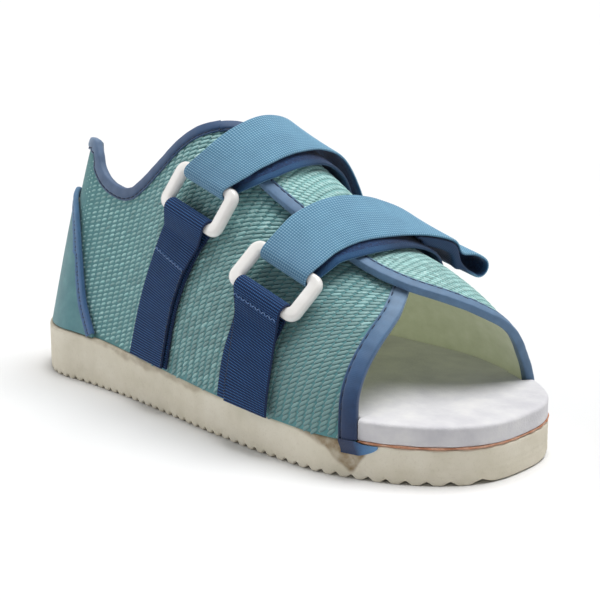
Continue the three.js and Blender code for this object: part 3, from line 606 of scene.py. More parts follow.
def quarter_object(name, front, ground, lining):
    columns = math.copysign(1.0, front) * np.linspace(GAP / 2.0, abs(front), MESH_COLUMNS)
    reach = edge_reach(columns)[:, None] * np.linspace(0.0, 1.0, MESH_ROWS)[None, :]
    spread_columns = np.repeat(columns[:, None], MESH_ROWS, 1)
    outer = upper_point(spread_columns, reach, MESH_SINK)
    inner = upper_point(spread_columns, reach, CLOTH_WALL)
    climb = run_lengths(outer, 1)
    uv = np.stack([np.abs(spread_columns), climb], -1)
    blank = (abs(front) / 1000.0, float(climb.max()) / 1000.0, cloth_area(outer))
    return shell_object(name, outer, inner, uv, [ground, lining, ground]), blank


def cloth_place(material):
    return node(material, "UVMap", uv_map="cloth").outputs["UV"]


def waves(material, place, scale, distortion, detail=2.0, direction="X"):
    inputs = {"Vector": place, "Scale": scale, "Distortion": distortion, "Detail": detail}
    return node(material, "TexWave", inputs, bands_direction=direction).outputs["Fac"]


# The ground sheet is coloured darker than the knobs on it, as painted shade in the gaps between them.
def mesh_ground(name, dark, middle, light):
    material = material_with(name, 0.9, Sheen_Weight=0.2)
    place = cloth_place(material)
    teal = speckled(material, place, 260.0, 3.0, (0.3, dark), (0.6, middle), (0.8, light))
    return dress(material, teal, grainy(material, place, 2600.0, 2.0), 0.5, 0.0003)


def pale_lining():
    # The lining is given a faint glow: painted light brightening the inside of the shoe.
    painted_glow = {"Emission_Color": linear("dfe6c4"), "Emission_Strength": 0.1}
    material = material_with("pale lining", 0.95, Sheen_Weight=0.3, **painted_glow)
    place = cloth_place(material)
    pale = speckled(material, place, 120.0, 3.0, (0.3, "d9dfc0"), (0.6, "e6ebd0"), (0.8, "f0f3de"))
    return dress(material, pale, waves(material, place, 480.0, 1.5), 0.3, 0.0003)


def mesh_knobs(name, *stops):
    material = material_with(name, 0.7, Sheen_Weight=0.25)
    place = object_place(material)
    # Each knob is painted pale on its top and one side and dark on the other: painted light and shade.
    teal = ramp(material, painted(material, "lean"), stops)
    # The per-knob tone attribute carries random tone together with painted light and shade.
    tone_and_light = painted(material, "tone_and_light")
    shade = ramp(material, tone_and_light, [(0.0, "b8b8b8"), (0.4, "dcdcdc"), (0.85, "fafafa")])
    varied = mixed(material, 1.0, teal, shade, "MULTIPLY")
    # Painted highlight: small pale glints, stronger on the lighter knobs.
    glints = speckled(material, place, 620.0, 1.0, (0.56, "000000"), (0.66, "b8b8b8"))
    specked = mixed(material, worked(material, "MULTIPLY", glints, tone_and_light), varied, linear("dcf6f2"))
    return dress(material, specked, grainy(material, place, 4200.0, 2.0), 0.3, 0.0002)


def grain_tree(name, length, width, height):
    tree = bpy.data.node_groups.new(name, "GeometryNodeTree")
    sizes = {"Grain length": length, "Grain width": width, "Grain height": height}
    tree.interface.new_socket("Geometry", in_out="INPUT", socket_type="NodeSocketGeometry")
    for label, size in sizes.items():
        socket = tree.interface.new_socket(label, in_out="INPUT", socket_type="NodeSocketFloat")
        socket.default_value = size
    tree.interface.new_socket("Finish", in_out="INPUT", socket_type="NodeSocketMaterial")
    tree.interface.new_socket("Geometry", in_out="OUTPUT", socket_type="NodeSocketGeometry")

    def add(kind, inputs=None, **settings):
        return tree_node(tree, kind, inputs, **settings).outputs

    def geometry(kind, inputs=None, **settings):
        return add("GeometryNode" + kind, inputs, **settings)

    start = add("NodeGroupInput")
    size = add("ShaderNodeCombineXYZ", dict(zip("XYZ", [start[label] for label in sizes])))
    ball = geometry("MeshUVSphere", {"Segments": 7, "Rings": 4, "Radius": 0.5})
    # This value, stored as lean, marks the top and one side of each grain, which the knob finish paints as
    # light and shade.
    aside = {0: geometry("InputPosition")["Position"], 1: (0.5, 1.0, 0.4)}
    lean = add("ShaderNodeVectorMath", aside, operation="DOT_PRODUCT")
    middle = add("ShaderNodeMath", {0: lean["Value"], 1: 0.5})
    kept = geometry("StoreNamedAttribute", {
        "Geometry": ball["Mesh"], "Name": "lean", "Value": middle["Value"]})
    shaped = geometry("Transform", {"Geometry": kept["Geometry"], "Scale": size["Vector"]})
    smooth = geometry("SetShadeSmooth", {"Geometry": shaped["Geometry"]})
    read = {}
    for label in ("out", "row", "scale"):
        stored = geometry("InputNamedAttribute", {"Name": label}, data_type="FLOAT_VECTOR")
        read[label] = stored["Attribute"]
    axes = {"Primary Axis": read["out"], "Secondary Axis": read["row"]}
    turned = add("FunctionNodeAxesToRotation", axes, primary_axis="Z", secondary_axis="X")
    place = geometry("InstanceOnPoints", {
        "Points": start["Geometry"], "Instance": smooth["Geometry"],
        "Rotation": turned["Rotation"], "Scale": read["scale"]})
    real = geometry("RealizeInstances", {"Geometry": place["Instances"]})
    coat = geometry("SetMaterial", {"Geometry": real["Geometry"], "Material": start["Finish"]})
    add("NodeGroupOutput", {"Geometry": coat["Geometry"]})
    return tree


def grains(name, tree, material, points, out, row, scale, tone_and_light):
    seeds = bpy.data.meshes.new(name + "_seeds")
    seeds.from_pydata(to_frame(points).tolist(), [], [])
    vectors = {"out": out, "row": row, "scale": scale}
    for label, values in vectors.items():
        attribute = seeds.attributes.new(label, "FLOAT_VECTOR", "POINT")
        attribute.data.foreach_set("vector", np.asarray(values, np.float32).ravel())
    point_values(seeds, "tone_and_light", tone_and_light)
    holder = placed(name + "_seeds", seeds)
    modifier = holder.modifiers.new("grains", "NODES")
    modifier.node_group = tree
    for socket in tree.interface.items_tree:
        if socket.item_type == "SOCKET" and socket.in_out == "INPUT" and socket.name == "Finish":
            modifier[socket.identifier] = material
    bpy.context.view_layer.update()
    evaluated = holder.evaluated_get(bpy.context.evaluated_depsgraph_get())
    mesh = bpy.data.meshes.new_from_object(evaluated)
    holder.modifiers.remove(modifier)
    bpy.data.objects.remove(holder)
    for label in vectors:
        if label in mesh.attributes:
            mesh.attributes.remove(mesh.attributes[label])
    mesh.name = name
    return placed(name, mesh)


def row_slope(run, slope_degrees):
    return np.radians(slope_degrees) * (0.55 + 0.45 * rises(run, 45.0, 70.0))


def knob_places(front, slope_degrees, covered, pitch):
    side = math.copysign(1.0, front)
    fine_run = np.arange(0.0, abs(front) + 6.0, 0.25)
    counted = fine_run / pitch[0]
    climbing = np.cumsum(0.25 * np.tan(row_slope(fine_run, slope_degrees)))
    rising = np.concatenate([[0.0], climbing[:-1]])
    rows = np.arange(-180, 200)
    steps = np.arange(-30, int(counted[-1]) + 31)
    row_index, step_index = np.meshgrid(rows, steps, indexing="ij")
    place = (step_index + row_index * KNOB_SHIFT).ravel()
    inside = (place > 0.8) & (place < counted[-1])
    along = np.interp(place[inside], counted, fine_run)
    climb = np.interp(along, fine_run, rising) + row_index.ravel()[inside] * pitch[1]
    inside = (along > 3.0) & (along < abs(front) + 2.0) & (climb > 0.8) & (climb < KNOB_CLIMB_MAX)
    along, climb = along[inside], climb[inside]
    shares = np.linspace(0.0, 1.32, 133)
    run_steps = np.linspace(0.0, abs(front) + 4.0, 140)
    length = run_lengths(wall_surface(side * run_steps[:, None], shares[None, :]), 1)
    cell = np.clip(along / run_steps[1], 0, len(run_steps) - 1.001)
    low_cell = cell.astype(int)
    part = cell - low_cell
    reach = np.empty(len(along))
    for i in range(len(along)):
        ladder = length[low_cell[i]] * (1.0 - part[i]) + length[low_cell[i] + 1] * part[i]
        reach[i] = np.interp(climb[i], ladder, shares, right=9.0)
    run = side * along
    column = run.copy()
    for _ in range(12):
        column = column + (run - leaning_run(column, np.minimum(reach, 1.3)))
    kept = (reach < edge_reach(column)) & (np.abs(column) < abs(front)) & ~covered(column, reach)
    return run[kept], reach[kept], side


def knob_object(name, front, slope_degrees, covered, pitch, edges, brightness, shape, finish, seed):
    run, reach, side = knob_places(front, slope_degrees, covered, pitch)
    points = stand_off(run, reach, flap_lift(run, reach) - MESH_SINK)
    clear = np.full(len(points), np.inf)
    for edge, leg in edges:
        gap = np.min(np.linalg.norm(points[:, None, :] - edge[None, :, :], axis=-1), 1)
        clear = np.minimum(clear, gap - leg)
    kept = (clear > -1.0) & (points[:, 2] > sole_top(points[:, 0]) + 1.2)
    run, reach, points = run[kept], reach[kept], points[kept]
    out = wall_normal(run, reach)
    lift = flap_lift(run, reach)
    ahead = stand_off(run + side, reach, lift) - stand_off(run, reach, lift)
    up = wall_surface(run, reach + 0.01) - wall_surface(run, reach)
    from_heel = np.abs(run)
    woven = rises(from_heel, WOVEN_FROM, WOVEN_FADE)
    turned = KNOB_TILT * (0.25 + 0.75 * woven)
    tilt = row_slope(from_heel, slope_degrees) + np.radians(turned) * math.copysign(1.0, slope_degrees)
    row = unit(unit(ahead) * np.cos(tilt)[:, None] + unit(up) * np.sin(tilt)[:, None])
    draw = np.random.default_rng(seed)
    size = 0.95 + 0.1 * draw.random((len(run), 3))
    size = size * (0.4 + 0.6 * rises(from_heel, 42.0, 30.0))[:, None]
    stretch = np.clip(np.linalg.norm(ahead, axis=-1), 0.4, 1.1)
    size[:, 0] = size[:, 0] * stretch * shape[0] * (0.78 + 0.22 * woven)
    size[:, 1] = size[:, 1] * shape[1] * (0.72 + 0.28 * woven)
    size[:, 2] = size[:, 2] * (0.6 + 0.4 * woven) * (1.0 - 0.4 * rises(from_heel, 185.0, 40.0))
    kept = draw.random(len(run)) < rises(from_heel, 40.0, 18.0)
    # Painted light and shade on the knobs: lighter towards the heel and high on the wall, darker towards
    # the toe.
    wear_and_light = 0.4 * (1.0 - woven) - 0.4 * rises(from_heel, 175.0, 45.0) + 0.5 * rises(reach, 0.42, 0.24)
    tone_and_light = np.clip(brightness + wear_and_light + 0.16 * draw.standard_normal(len(run)), 0.0, 1.0)
    return grains(name, knob_tree, finish, points[kept], out[kept], row[kept], size[kept], tone_and_light[kept])


def wall_edges(front, front_top, front_count, top_leg, front_leg):
    columns = math.copysign(1.0, front) * np.linspace(GAP / 2.0, abs(front), 700)
    climbing = np.linspace(0.0, front_top, front_count)
    return [
        (upper_point(columns, edge_reach(columns)), top_leg),
        (upper_point(np.full(front_count, front), climbing), front_leg)]


def finished_wall(quarter, knobs, place):
    finished(quarter, place)
    finished(knobs, None)


def right_covered(column, reach):
    under_flap = (station_x(column) > UNDER_FLAP_FROM) & (reach > UNDER_FLAP_REACH)
    run = np.abs(column)
    covered_height = counter_height_at(run) - UNDER_COUNTER
    return under_flap | ((run < COUNTER_RUN) & (reach < reach_at_height(column, covered_height)))


knob_tree = grain_tree("Knit knobs", 0.0054, 0.0021, 0.0008)
# The right wall's knob and ground colours are darker than the left flap's copies: painted shade on the near
# side wall.
knob_finish = mesh_knobs("mesh knobs", (0.08, "4a8286"), (0.3, "79b0b2"), (0.62, "97cacb"), (1.0, "aeddda"))
ground_finish = mesh_ground("mesh ground", "4f8387", "5b8f92", "699c9e")
lining_finish = pale_lining()
right_quarter, right_blank = quarter_object(
    "mesh_right_quarter", RIGHT_FRONT_RUN, ground_finish, lining_finish)
right_edges = wall_edges(RIGHT_FRONT_RUN, RIGHT_FLAP[-1, 1], 120, TAPE_LEG, TOE_TAPE_LEG)
# A brightness of 0.2 paints the near side wall's knobs darker than the left flap's: painted shade.
right_knobs = knob_object(
    "knit_knobs_right", RIGHT_FRONT_RUN, 24.0, right_covered, KNOB_PITCH, right_edges, 0.2, (1.0, 1.0),
    knob_finish, 11)
finished_wall(right_quarter, right_knobs, "right_quarter")

# Left quarter: the matching wall on the other side, of a finer knit with the same lining, its teal
# painted paler than the right wall's as painted light on the flap that faces up. Its flap is wider,
# lies over the right one and carries on down to the toe.
LEFT_FRONT_RUN = 284.1
LEFT_KNOB_PITCH = (2.8, 1.9)
FLAP_TAPE_LEG = 5.6
COUNTER_LEFT_DROP = 0.28


def left_covered(column, reach):
    run = np.abs(column)
    height = COUNTER_FOOT + (counter_height_at(run) - COUNTER_FOOT) * (1.0 - COUNTER_LEFT_DROP)
    return (run < COUNTER_RUN) & (reach < reach_at_height(column, height - UNDER_COUNTER))


painted_lit_ground = mesh_ground("painted-lit mesh ground", "83bab9", "90c5c3", "9cd0cd")
painted_lit_knobs = mesh_knobs(
    "painted-lit mesh knobs", (0.05, "78b0b0"), (0.25, "95cac8"), (0.6, "a8dad7"), (1.0, "b8e6e2"))
left_quarter, left_blank = quarter_object("mesh_left_quarter", LEFT_FRONT_RUN, painted_lit_ground, lining_finish)
left_edges = wall_edges(LEFT_FRONT_RUN, LEFT_FLAP[-1, 1], 60, FLAP_TAPE_LEG, FLAP_TAPE_LEG)
# A brightness of 0.45 paints the upward-facing flap's knobs paler: painted light.
left_knobs = knob_object(
    "knit_knobs_left", LEFT_FRONT_RUN, -26.0, left_covered, LEFT_KNOB_PITCH, left_edges, 0.45, (0.7, 1.05),
    painted_lit_knobs, 12)
finished_wall(left_quarter, left_knobs, "left_quarter")

# Edge tapes: strips of blue woven tape folded over the raw edges and sewn down: one round the
# ankle, one along the left flap and its front, and one up the right front by the toe, with its
# end turned under on the side of the sole.
TOPLINE_RIGHT_X = 129.0
TOPLINE_LEFT_X = 120.0
FLAP_TAPE_FROM_X = 142.0
FLAP_TAPE_BELOW_CORNER = 0.08
FLAP_TAPE_FOOT = 0.03
TOE_TAPE_FOOT = 0.015
TOE_TAPE_TOP = 0.86
TOE_TAPE_PRESSED_FROM = 0.86
TAPE_TURN = 9.0
TAPE_STEP = 0.75
TAPE_LIP = (0.0, 0.06, 0.2, 0.45)
STITCH_GROOVE = (-0.35, 0.0, 0.35, 0.75)
TAPE_EDGE = 0.1
# leg, fold, thickness, stitches from the edge
EDGE_TAPE = (TAPE_LEG, 0.25, 0.8, 1.0)
FLAP_TAPE = (FLAP_TAPE_LEG, 0.25, 0.6, 1.0)
TOE_TAPE = (TOE_TAPE_LEG, 0.25, 0.8, 1.2)
TONGUE_FROM = 234.6
TONGUE_TO = 250.5
TONGUE_TALL = 5.2
TONGUE_THICK = 0.55


def line_lengths(line):
    return run_lengths(line[None], 1)[0]


def resampled(at, lengths, values):
    return np.stack([np.interp(at, lengths, column) for column in values.T], -1)


def tape_path(places, point_at, normal_at, leg):
    lengths = line_lengths(point_at(places))
    at = np.linspace(0.0, lengths[-1], max(4, int(lengths[-1] / TAPE_STEP)))
    places = resampled(at, lengths, places)
    edge = point_at(places)
    normal = normal_at(places)
    square = unit(np.cross(normal, np.gradient(edge, axis=0)))
    reach_of_turn = np.abs(at[:, None] - at[None, :]) < TAPE_TURN
    into = reach_of_turn.astype(float) @ square
    into = unit(into - normal * np.sum(into * normal, -1, keepdims=True))
    by_run = (point_at(places + np.array([0.5, 0.0])) - edge) / 0.5
    by_reach = (edge - point_at(places - np.array([0.0, 0.005]))) / 0.005
    aa = np.sum(by_run * by_run, -1)
    ab = np.sum(by_run * by_reach, -1)
    bb = np.sum(by_reach * by_reach, -1)
    pa = leg * np.sum(by_run * into, -1)
    pb = leg * np.sum(by_reach * into, -1)
    scale = aa * bb - ab * ab
    far = places + np.stack([(bb * pa - ab * pb) / scale, (aa * pb - ab * pa) / scale], -1)
    return edge, normal, into, point_at(far), normal_at(far), at


def tape_section(wall, leg, fold, thick, stitch_at):
    groove = [stitch_at + aside for aside in STITCH_GROOVE]
    inset = np.array([*TAPE_LIP, *groove, *np.linspace(stitch_at + 1.2, leg - TAPE_EDGE, 7)])
    rise = fold + thick * (0.2 + 0.7 * np.sqrt(np.clip(inset / 0.5, 0.0, 1.0)))
    crowned = np.clip((inset - stitch_at) / (leg - stitch_at), 0.0, 1.0)
    rise = rise + 0.4 * thick * np.sin(np.pi * crowned)
    rise = rise - 0.75 * thick * np.exp(-((inset - stitch_at) / 0.4) ** 2)
    half = wall / 2.0
    outer = [(leg - from_end, half + lift) for from_end, lift in zip(inset, rise)]
    edge_height = outer[-1][1]
    last = len(outer) - 1
    for turn in np.linspace(0.0, np.pi, 13)[1:-1]:
        bulge = (fold + thick) * math.sin(turn)
        outer.append((TAPE_EDGE - bulge, edge_height * math.cos(turn)))
    outer += [(into, -height) for into, height in outer[last::-1]]
    lining = half + 0.5 * fold
    inner = []
    for into, height in outer:
        if into > TAPE_EDGE:
            inner.append((into, math.copysign(lining, height)))
        else:
            inner.append((TAPE_EDGE + (into - TAPE_EDGE) * 0.2, height * (lining / edge_height)))
    return outer, inner


def tape_grid(path, section, wall, leg, squeeze):
    edge, normal, into, end, end_normal = path[:5]
    grid = []
    for depth, height in section:
        part = max(depth, 0.0) / leg
        base = edge * (1.0 - part) + end * part
        facing = unit(normal * (1.0 - part) + end_normal * part)
        base = base + into * min(depth, 0.0)
        outside = max(height - wall / 2.0, 0.0) * squeeze
        inside = min(height, wall / 2.0) - wall / 2.0
        grid.append(base + facing * (outside + inside)[:, None])
    return np.stack(grid, 1)


def stitch_row(name, line, facing, step, material, seed, slant=0.0, size=(1.0, 1.0, 1.0)):
    lengths = line_lengths(line)
    at = np.arange(0.5 * step, lengths[-1], step)
    out = unit(resampled(at, lengths, facing))
    way = unit(resampled(at, lengths, np.gradient(line, axis=0)))
    lean = slant * np.where(np.arange(len(at)) % 2 == 0, 1.0, -1.0)
    way = unit(way * np.cos(lean)[:, None] + np.cross(out, way) * np.sin(lean)[:, None])
    draw = np.random.default_rng(seed)
    scale = np.array(size)[None] * (0.9 + 0.2 * draw.random((len(at), 3)))
    points = resampled(at, lengths, line)
    return grains(name, stitch_tree, material, points, out, way, scale, draw.random(len(at)))


def sewn_tape(name, places, point_at, normal_at, wall, shape, material, stitching, press_from=2.0):
    leg, fold, thick, stitch_at = shape
    path = tape_path(places, point_at, normal_at, leg)
    at = path[5]
    rumple = 0.05 * np.sin(at / 2.3) + 0.05 * np.sin(at / 1.1 + 1.0) + 0.05 * np.sin(at / 5.9)
    squeeze = (1.0 + rumple) * (1.0 - 0.6 * rises(at / at[-1], press_from, 0.06))
    groove = [(leg - stitch_at, wall / 2.0 + fold + 0.35 * thick)]
    sections = (*tape_section(wall, *shape), groove)
    outer, inner, seam = (tape_grid(path, section, wall, leg, squeeze) for section in sections)
    across = line_lengths(outer[0])
    uv = np.stack(np.broadcast_arrays(at[:, None], across[None, :]), -1)
    tape = shell_object(name, outer, inner, uv, [material])
    width = across[-1] / 1000.0
    length = at[-1] / 1000.0
    stitches = stitch_row(name + "_stitches", seam[:, 0], path[4], *stitching)
    return tape, stitches, (width, length, min(cloth_area(outer), width * length))


def finished_tape(tape, stitches, cut, place, rests_on, with_pieces=()):
    finished(tape, place)
    finished(stitches, None)


def thread_cotton(name, dark, light):
    material = material_with(name, 0.7, Sheen_Weight=0.2)
    place = object_place(material)
    colour = speckled(material, place, 900.0, 3.0, (0.35, dark), (0.65, light))
    return dress(material, colour, waves(material, place, 620.0, 1.0, direction="DIAGONAL"), 0.4, 0.0002)


def tape_cloth(name, length, *stops):
    material = material_with(name, 0.62, Sheen_Weight=0.2)
    place = cloth_place(material)
    along = node(material, "SeparateXYZ", {"Vector": place}).outputs["X"]
    shade = ramp(material, worked(material, "MULTIPLY", along, 1.0 / length), stops)
    wear = speckled(material, place, 190.0, 4.0, (0.25, "3c3c3c"), (0.75, "c4c4c4"))
    varied = mixed(material, 0.28, shade, wear, "OVERLAY")
    ribs = waves(material, place, 420.0, 0.6, 1.0)
    relief = worked(material, "ADD", ribs, grainy(material, place, 2400.0, 2.0))
    return dress(material, varied, relief, 0.16, 0.0003)


def on_upper(places):
    return upper_point(places[..., 0], places[..., 1])


def out_of_upper(places):
    return wall_normal(leaning_run(places[..., 0], places[..., 1]), places[..., 1])


stitch_tree = grain_tree("Thread stitches", 0.0032, 0.0008, 0.0007)
navy_thread = thread_cotton("navy thread", "10203a", "1b3152")
upper_edge = (on_upper, out_of_upper, CLOTH_WALL)

topline_runs = np.concatenate([
    np.linspace(run_at(TOPLINE_RIGHT_X, -1.0), -GAP / 2.0, 500),
    np.linspace(0.8, run_at(TOPLINE_LEFT_X, 1.0), 400)])
topline_places = np.stack([topline_runs, edge_reach(topline_runs)], -1)
# Painted light and shade along the ankle tape: navy up the right front, palest near the heel tab, darker
# again on the left.
topline_finish = tape_cloth(
    "ankle tape", 0.33, (0.0, "2c507c"), (0.12, "2f517b"), (0.2, "3c587f"), (0.27, "435d81"),
    (0.36, "5f799b"), (0.42, "7690ac"), (0.55, "5d7ba0"), (1.0, "3f6290"))
topline = sewn_tape(
    "ankle_tape", topline_places, *upper_edge, EDGE_TAPE, topline_finish, (3.6, navy_thread, 21))
finished_tape(*topline, "topline_binding", ["mesh_right_quarter", "mesh_left_quarter"])

flap_runs = np.linspace(run_at(FLAP_TAPE_FROM_X, 1.0), LEFT_FRONT_RUN, 300)
flap_foot = np.linspace(edge_reach(LEFT_FRONT_RUN) - FLAP_TAPE_BELOW_CORNER, FLAP_TAPE_FOOT, 40)
flap_places = np.concatenate([
    np.stack([flap_runs, edge_reach(flap_runs)], -1),
    np.stack([np.full(40, LEFT_FRONT_RUN), flap_foot], -1)])
flap_finish = tape_cloth(
    "flap tape", 0.25, (0.0, "6486aa"), (0.4, "5d80a3"), (0.7, "5b7d9f"), (1.0, "48698c"))
flap_tape = sewn_tape(
    "left_flap_tape", flap_places, *upper_edge, FLAP_TAPE, flap_finish, (4.2, navy_thread, 22))
finished_tape(*flap_tape, "left_flap_binding", ["mesh_left_quarter"])

toe_places = np.stack([np.full(140, RIGHT_FRONT_RUN), np.linspace(TOE_TAPE_FOOT, TOE_TAPE_TOP, 140)], -1)
# Painted shade: the toe tape is dark navy at its foot and pales upwards.
toe_finish = tape_cloth(
    "toe tape", 0.083, (0.0, "16305a"), (0.2, "1f406a"), (0.36, "395d88"), (0.6, "51769b"), (1.0, "7894b0"))
toe_tape = sewn_tape(
    "right_toe_tape", toe_places, *upper_edge, TOE_TAPE, toe_finish, (5.6, navy_thread, 23),
    TOE_TAPE_PRESSED_FROM)
tongue_x, tongue_drop = np.meshgrid(
    np.linspace(TONGUE_FROM, TONGUE_TO, 40), np.linspace(0.0, 1.0, 8), indexing="ij")
under_tape = 1.0 - rises(tongue_x, 241.6, 2.6)
tongue_tall = TONGUE_TALL * np.sqrt(np.clip((TONGUE_TO + 0.2 - tongue_x) / 8.0, 0.0, 1.0))
tongue_z = sole_top(tongue_x) - 0.2 + 1.5 * under_tape - (tongue_tall + 1.5 * under_tape) * tongue_drop
tongue_out = 0.7 + 2.0 * under_tape * (1.0 - ease(1.1 * tongue_drop)) - 0.2 * tongue_drop
tongue_faces = []
for stand in (tongue_out, tongue_out - TONGUE_THICK):
    tongue_faces.append(np.stack([tongue_x, -half_width(tongue_x) - stand, tongue_z], -1))
tongue_uv = np.stack([tongue_x - TONGUE_FROM, 4.0 * tongue_drop], -1)
# Painted shade: the tape's foot is dark navy where it runs under the tape, lighter beyond it.
tongue_finish = tape_cloth(
    "tape foot", 0.0159, (0.0, "10264c"), (0.42, "16305a"), (0.62, "4a7aac"), (1.0, "6a9cc9"))
tongue = shell_object("right_toe_tape_foot", *tongue_faces, tongue_uv, [tongue_finish])
finished(tongue, None)
finished_tape(*toe_tape, "right_toe_binding", ["mesh_right_quarter"], [tongue])

# Heel counter: a second panel of smoother teal cloth, wrapped round the outside of the heel and
# arched at the back. Its own folded tape is sewn over the arch with a zigzag.
COUNTER_WALL = 1.3
COUNTER_SINK = 0.1
COUNTER_TAPE = (4.8, 0.1, 0.5, 2.4)
COUNTER_STAND = 2.3
COUNTER_PARTS = len(COUNTER_EDGE) - 1.0
COUNTER_TAPE_RIGHT = 7.97
COUNTER_TAPE_LEFT = 7.0
counter_run = through(np.arange(len(COUNTER_EDGE)), COUNTER_EDGE[:, 0])
counter_z = through(np.arange(len(COUNTER_EDGE)), COUNTER_EDGE[:, 1])


def counter_place(part, climb):
    edge_run = np.sign(part) * counter_run(np.abs(part))
    foot_run = COUNTER_RUN * part / COUNTER_PARTS
    run = foot_run + (edge_run - foot_run) * climb
    height = 1.0 - COUNTER_LEFT_DROP * rises(part, -1.5, 3.0)
    edge_height = COUNTER_FOOT + (counter_z(np.abs(part)) - COUNTER_FOOT) * height
    return np.stack(np.broadcast_arrays(run, climb * reach_at_height(edge_run, edge_height)), -1)


def on_counter(places, depth=0.0):
    stand = np.full(places.shape[:-1], COUNTER_STAND - depth)
    return above_sole(stand_off(places[..., 0], places[..., 1], stand))


def out_of_counter(places):
    return wall_normal(places[..., 0], places[..., 1])


def counter_cloth():
    material = material_with("counter cloth", 0.85, Sheen_Weight=0.3)
    place = cloth_place(material)
    teal = speckled(material, place, 90.0, 4.0, (0.3, "4b8088"), (0.55, "578c93"), (0.78, "689ca1"))
    threads = waves(material, place, 420.0, 2.0)
    relief = worked(material, "ADD", threads, grainy(material, place, 1800.0))
    return dress(material, teal, relief, 0.35, 0.0003)


counter_parts = np.linspace(-COUNTER_PARTS, COUNTER_PARTS, 180)
counter_grid = counter_place(counter_parts[:, None], np.linspace(0.0, 1.0, 60)[None, :])
outer = on_counter(counter_grid, COUNTER_SINK)
inner = on_counter(counter_grid, COUNTER_WALL)
counter_climb = run_lengths(outer, 1)
uv = np.stack([counter_grid[..., 0], counter_climb], -1)
counter_finish = counter_cloth()
counter = shell_object(
    "heel_counter_panel", outer, inner, uv, [counter_finish, lining_finish, counter_finish])
finished(counter, "heel_counter")

counter_tape_places = counter_place(np.linspace(-COUNTER_TAPE_RIGHT, COUNTER_TAPE_LEFT, 400), 1.0)
counter_tape_finish = tape_cloth(
    "counter tape", 0.24, (0.0, "41689a"), (0.3, "5682ab"), (0.5, "6f9dbd"), (1.0, "5682ab"))
zigzag = (2.2, navy_thread, 24, 0.95, (1.25, 0.8, 0.8))
counter_tape = sewn_tape(
    "counter_tape", counter_tape_places, on_counter, out_of_counter, COUNTER_WALL, COUNTER_TAPE,
    counter_tape_finish, zigzag)
finished_tape(*counter_tape, "counter_binding", ["heel_counter_panel"])

# Rings: two oblong loops of white moulded plastic that lie on the right wall. The webbing holds
# each by its lower bar, and the strap turns back round its upper bar.
RING_INSIDE = 29.6
RING_SLOT = 14.0
RING_BAR = 5.2
RING_THICK = 4.9
RING_STAND = 5.7
RING_END = 6.8
RING_CORNER = 5.6
RING_HOLE_CORNER = 1.6
RING_EASE = 2.1
RING_ROUNDING = ((1.0, 0.0), (0.6, 0.08), (0.29, 0.29), (0.08, 0.6), (0.0, 1.0))
FASTENINGS = {
    "rear": {"ring_x": 129.0, "ring_reach": 0.51, "fall": 18.0},
    "front": {"ring_x": 183.0, "ring_reach": 0.478, "fall": 19.0},
}


def ring_frame(fastening):
    run = run_at(fastening["ring_x"], -1.0)
    reach = fastening["ring_reach"]
    normal = wall_normal(run, reach)
    fall = math.radians(fastening["fall"])
    level = np.array([math.cos(fall), 0.0, -math.sin(fall)])
    across = unit(level - normal * np.dot(level, normal))
    middle = stand_off(run, reach, np.array(RING_STAND))
    return {"middle": middle, "across": across, "up": -np.cross(across, normal), "normal": normal}


def ring_plastic():
    material = material_with("ring plastic", 0.32, IOR=1.5, Coat_Weight=0.15, Coat_Roughness=0.2)
    place = object_place(material)
    white = speckled(material, place, 120.0, 3.0, (0.3, "f1efeb"), (0.6, "f8f6f3"), (0.8, "fdfcfa"))
    scuffs = grainy(material, place, 800.0, 4.0)
    rough = ramp(material, scuffs, [(0.3, "454545"), (0.7, "6b6b6b")])
    return dress(material, white, scuffs, 0.06, 0.0002, rough)


def rounded_oblong(half_long, half_short, corner):
    places = []
    ways = []
    for sign_x, sign_y, start in ((1, 1, 0.0), (-1, 1, 0.5), (-1, -1, 1.0), (1, -1, 1.5)):
        centre = np.array([sign_x * (half_long - corner), sign_y * (half_short - corner)])
        for angle in np.linspace(start * np.pi, (start + 0.5) * np.pi, 10):
            way = np.array([math.cos(angle), math.sin(angle)])
            places.append(centre + corner * way)
            ways.append(way)
    return np.array(places), np.array(ways)


def ring_object(name, ring, material):
    half_long = RING_INSIDE / 2.0
    half_short = RING_SLOT / 2.0
    outside, out_way = rounded_oblong(half_long + RING_END, half_short + RING_BAR, RING_CORNER)
    hole, hole_way = rounded_oblong(half_long, half_short, RING_HOLE_CORNER)
    quarters = (
        (outside, -out_way, 1.0, RING_ROUNDING), (outside, -out_way, -1.0, RING_ROUNDING[::-1]),
        (hole, hole_way, -1.0, RING_ROUNDING), (hole, hole_way, 1.0, RING_ROUNDING[::-1]))
    loops = []
    for edge, way, face, rounding in quarters:
        for inset, drop in rounding:
            flat = edge + way * inset * RING_EASE
            height = face * (RING_THICK / 2.0 - drop * RING_EASE)
            lying = ring["middle"] + ring["across"] * flat[:, :1] + ring["up"] * flat[:, 1:]
            loops.append(lying + ring["normal"] * height)
    count = len(outside)
    faces = []
    for level in range(len(loops)):
        here = level * count
        above = (level + 1) % len(loops) * count
        for k in range(count):
            ahead = (k + 1) % count
            faces.append((here + k, above + k, above + ahead, here + ahead))
    piece = made_object(name, np.concatenate(loops), faces, [material])
    closed_up(piece)
    smoothed(piece, 32.0)
    return piece


ring_finish = ring_plastic()
for label, fastening in FASTENINGS.items():
    fastening["ring"] = ring_frame(fastening)
    piece = ring_object(label + "_plastic_ring", fastening["ring"], ring_finish)
    finished(piece, label + "_ring")

# Webbing: two loops of navy ribbed webbing, sewn into the rim of the sole at their feet. Each runs
# up the right wall, turns round the lower bar of its ring and comes down again under itself.
WEBBING_WIDTH = 28.8
WEBBING_THICK = 1.4
WEBBING_PART = 8.0
WEBBING_FOOT = 0.008
WEBBING_WRAP = 135.0
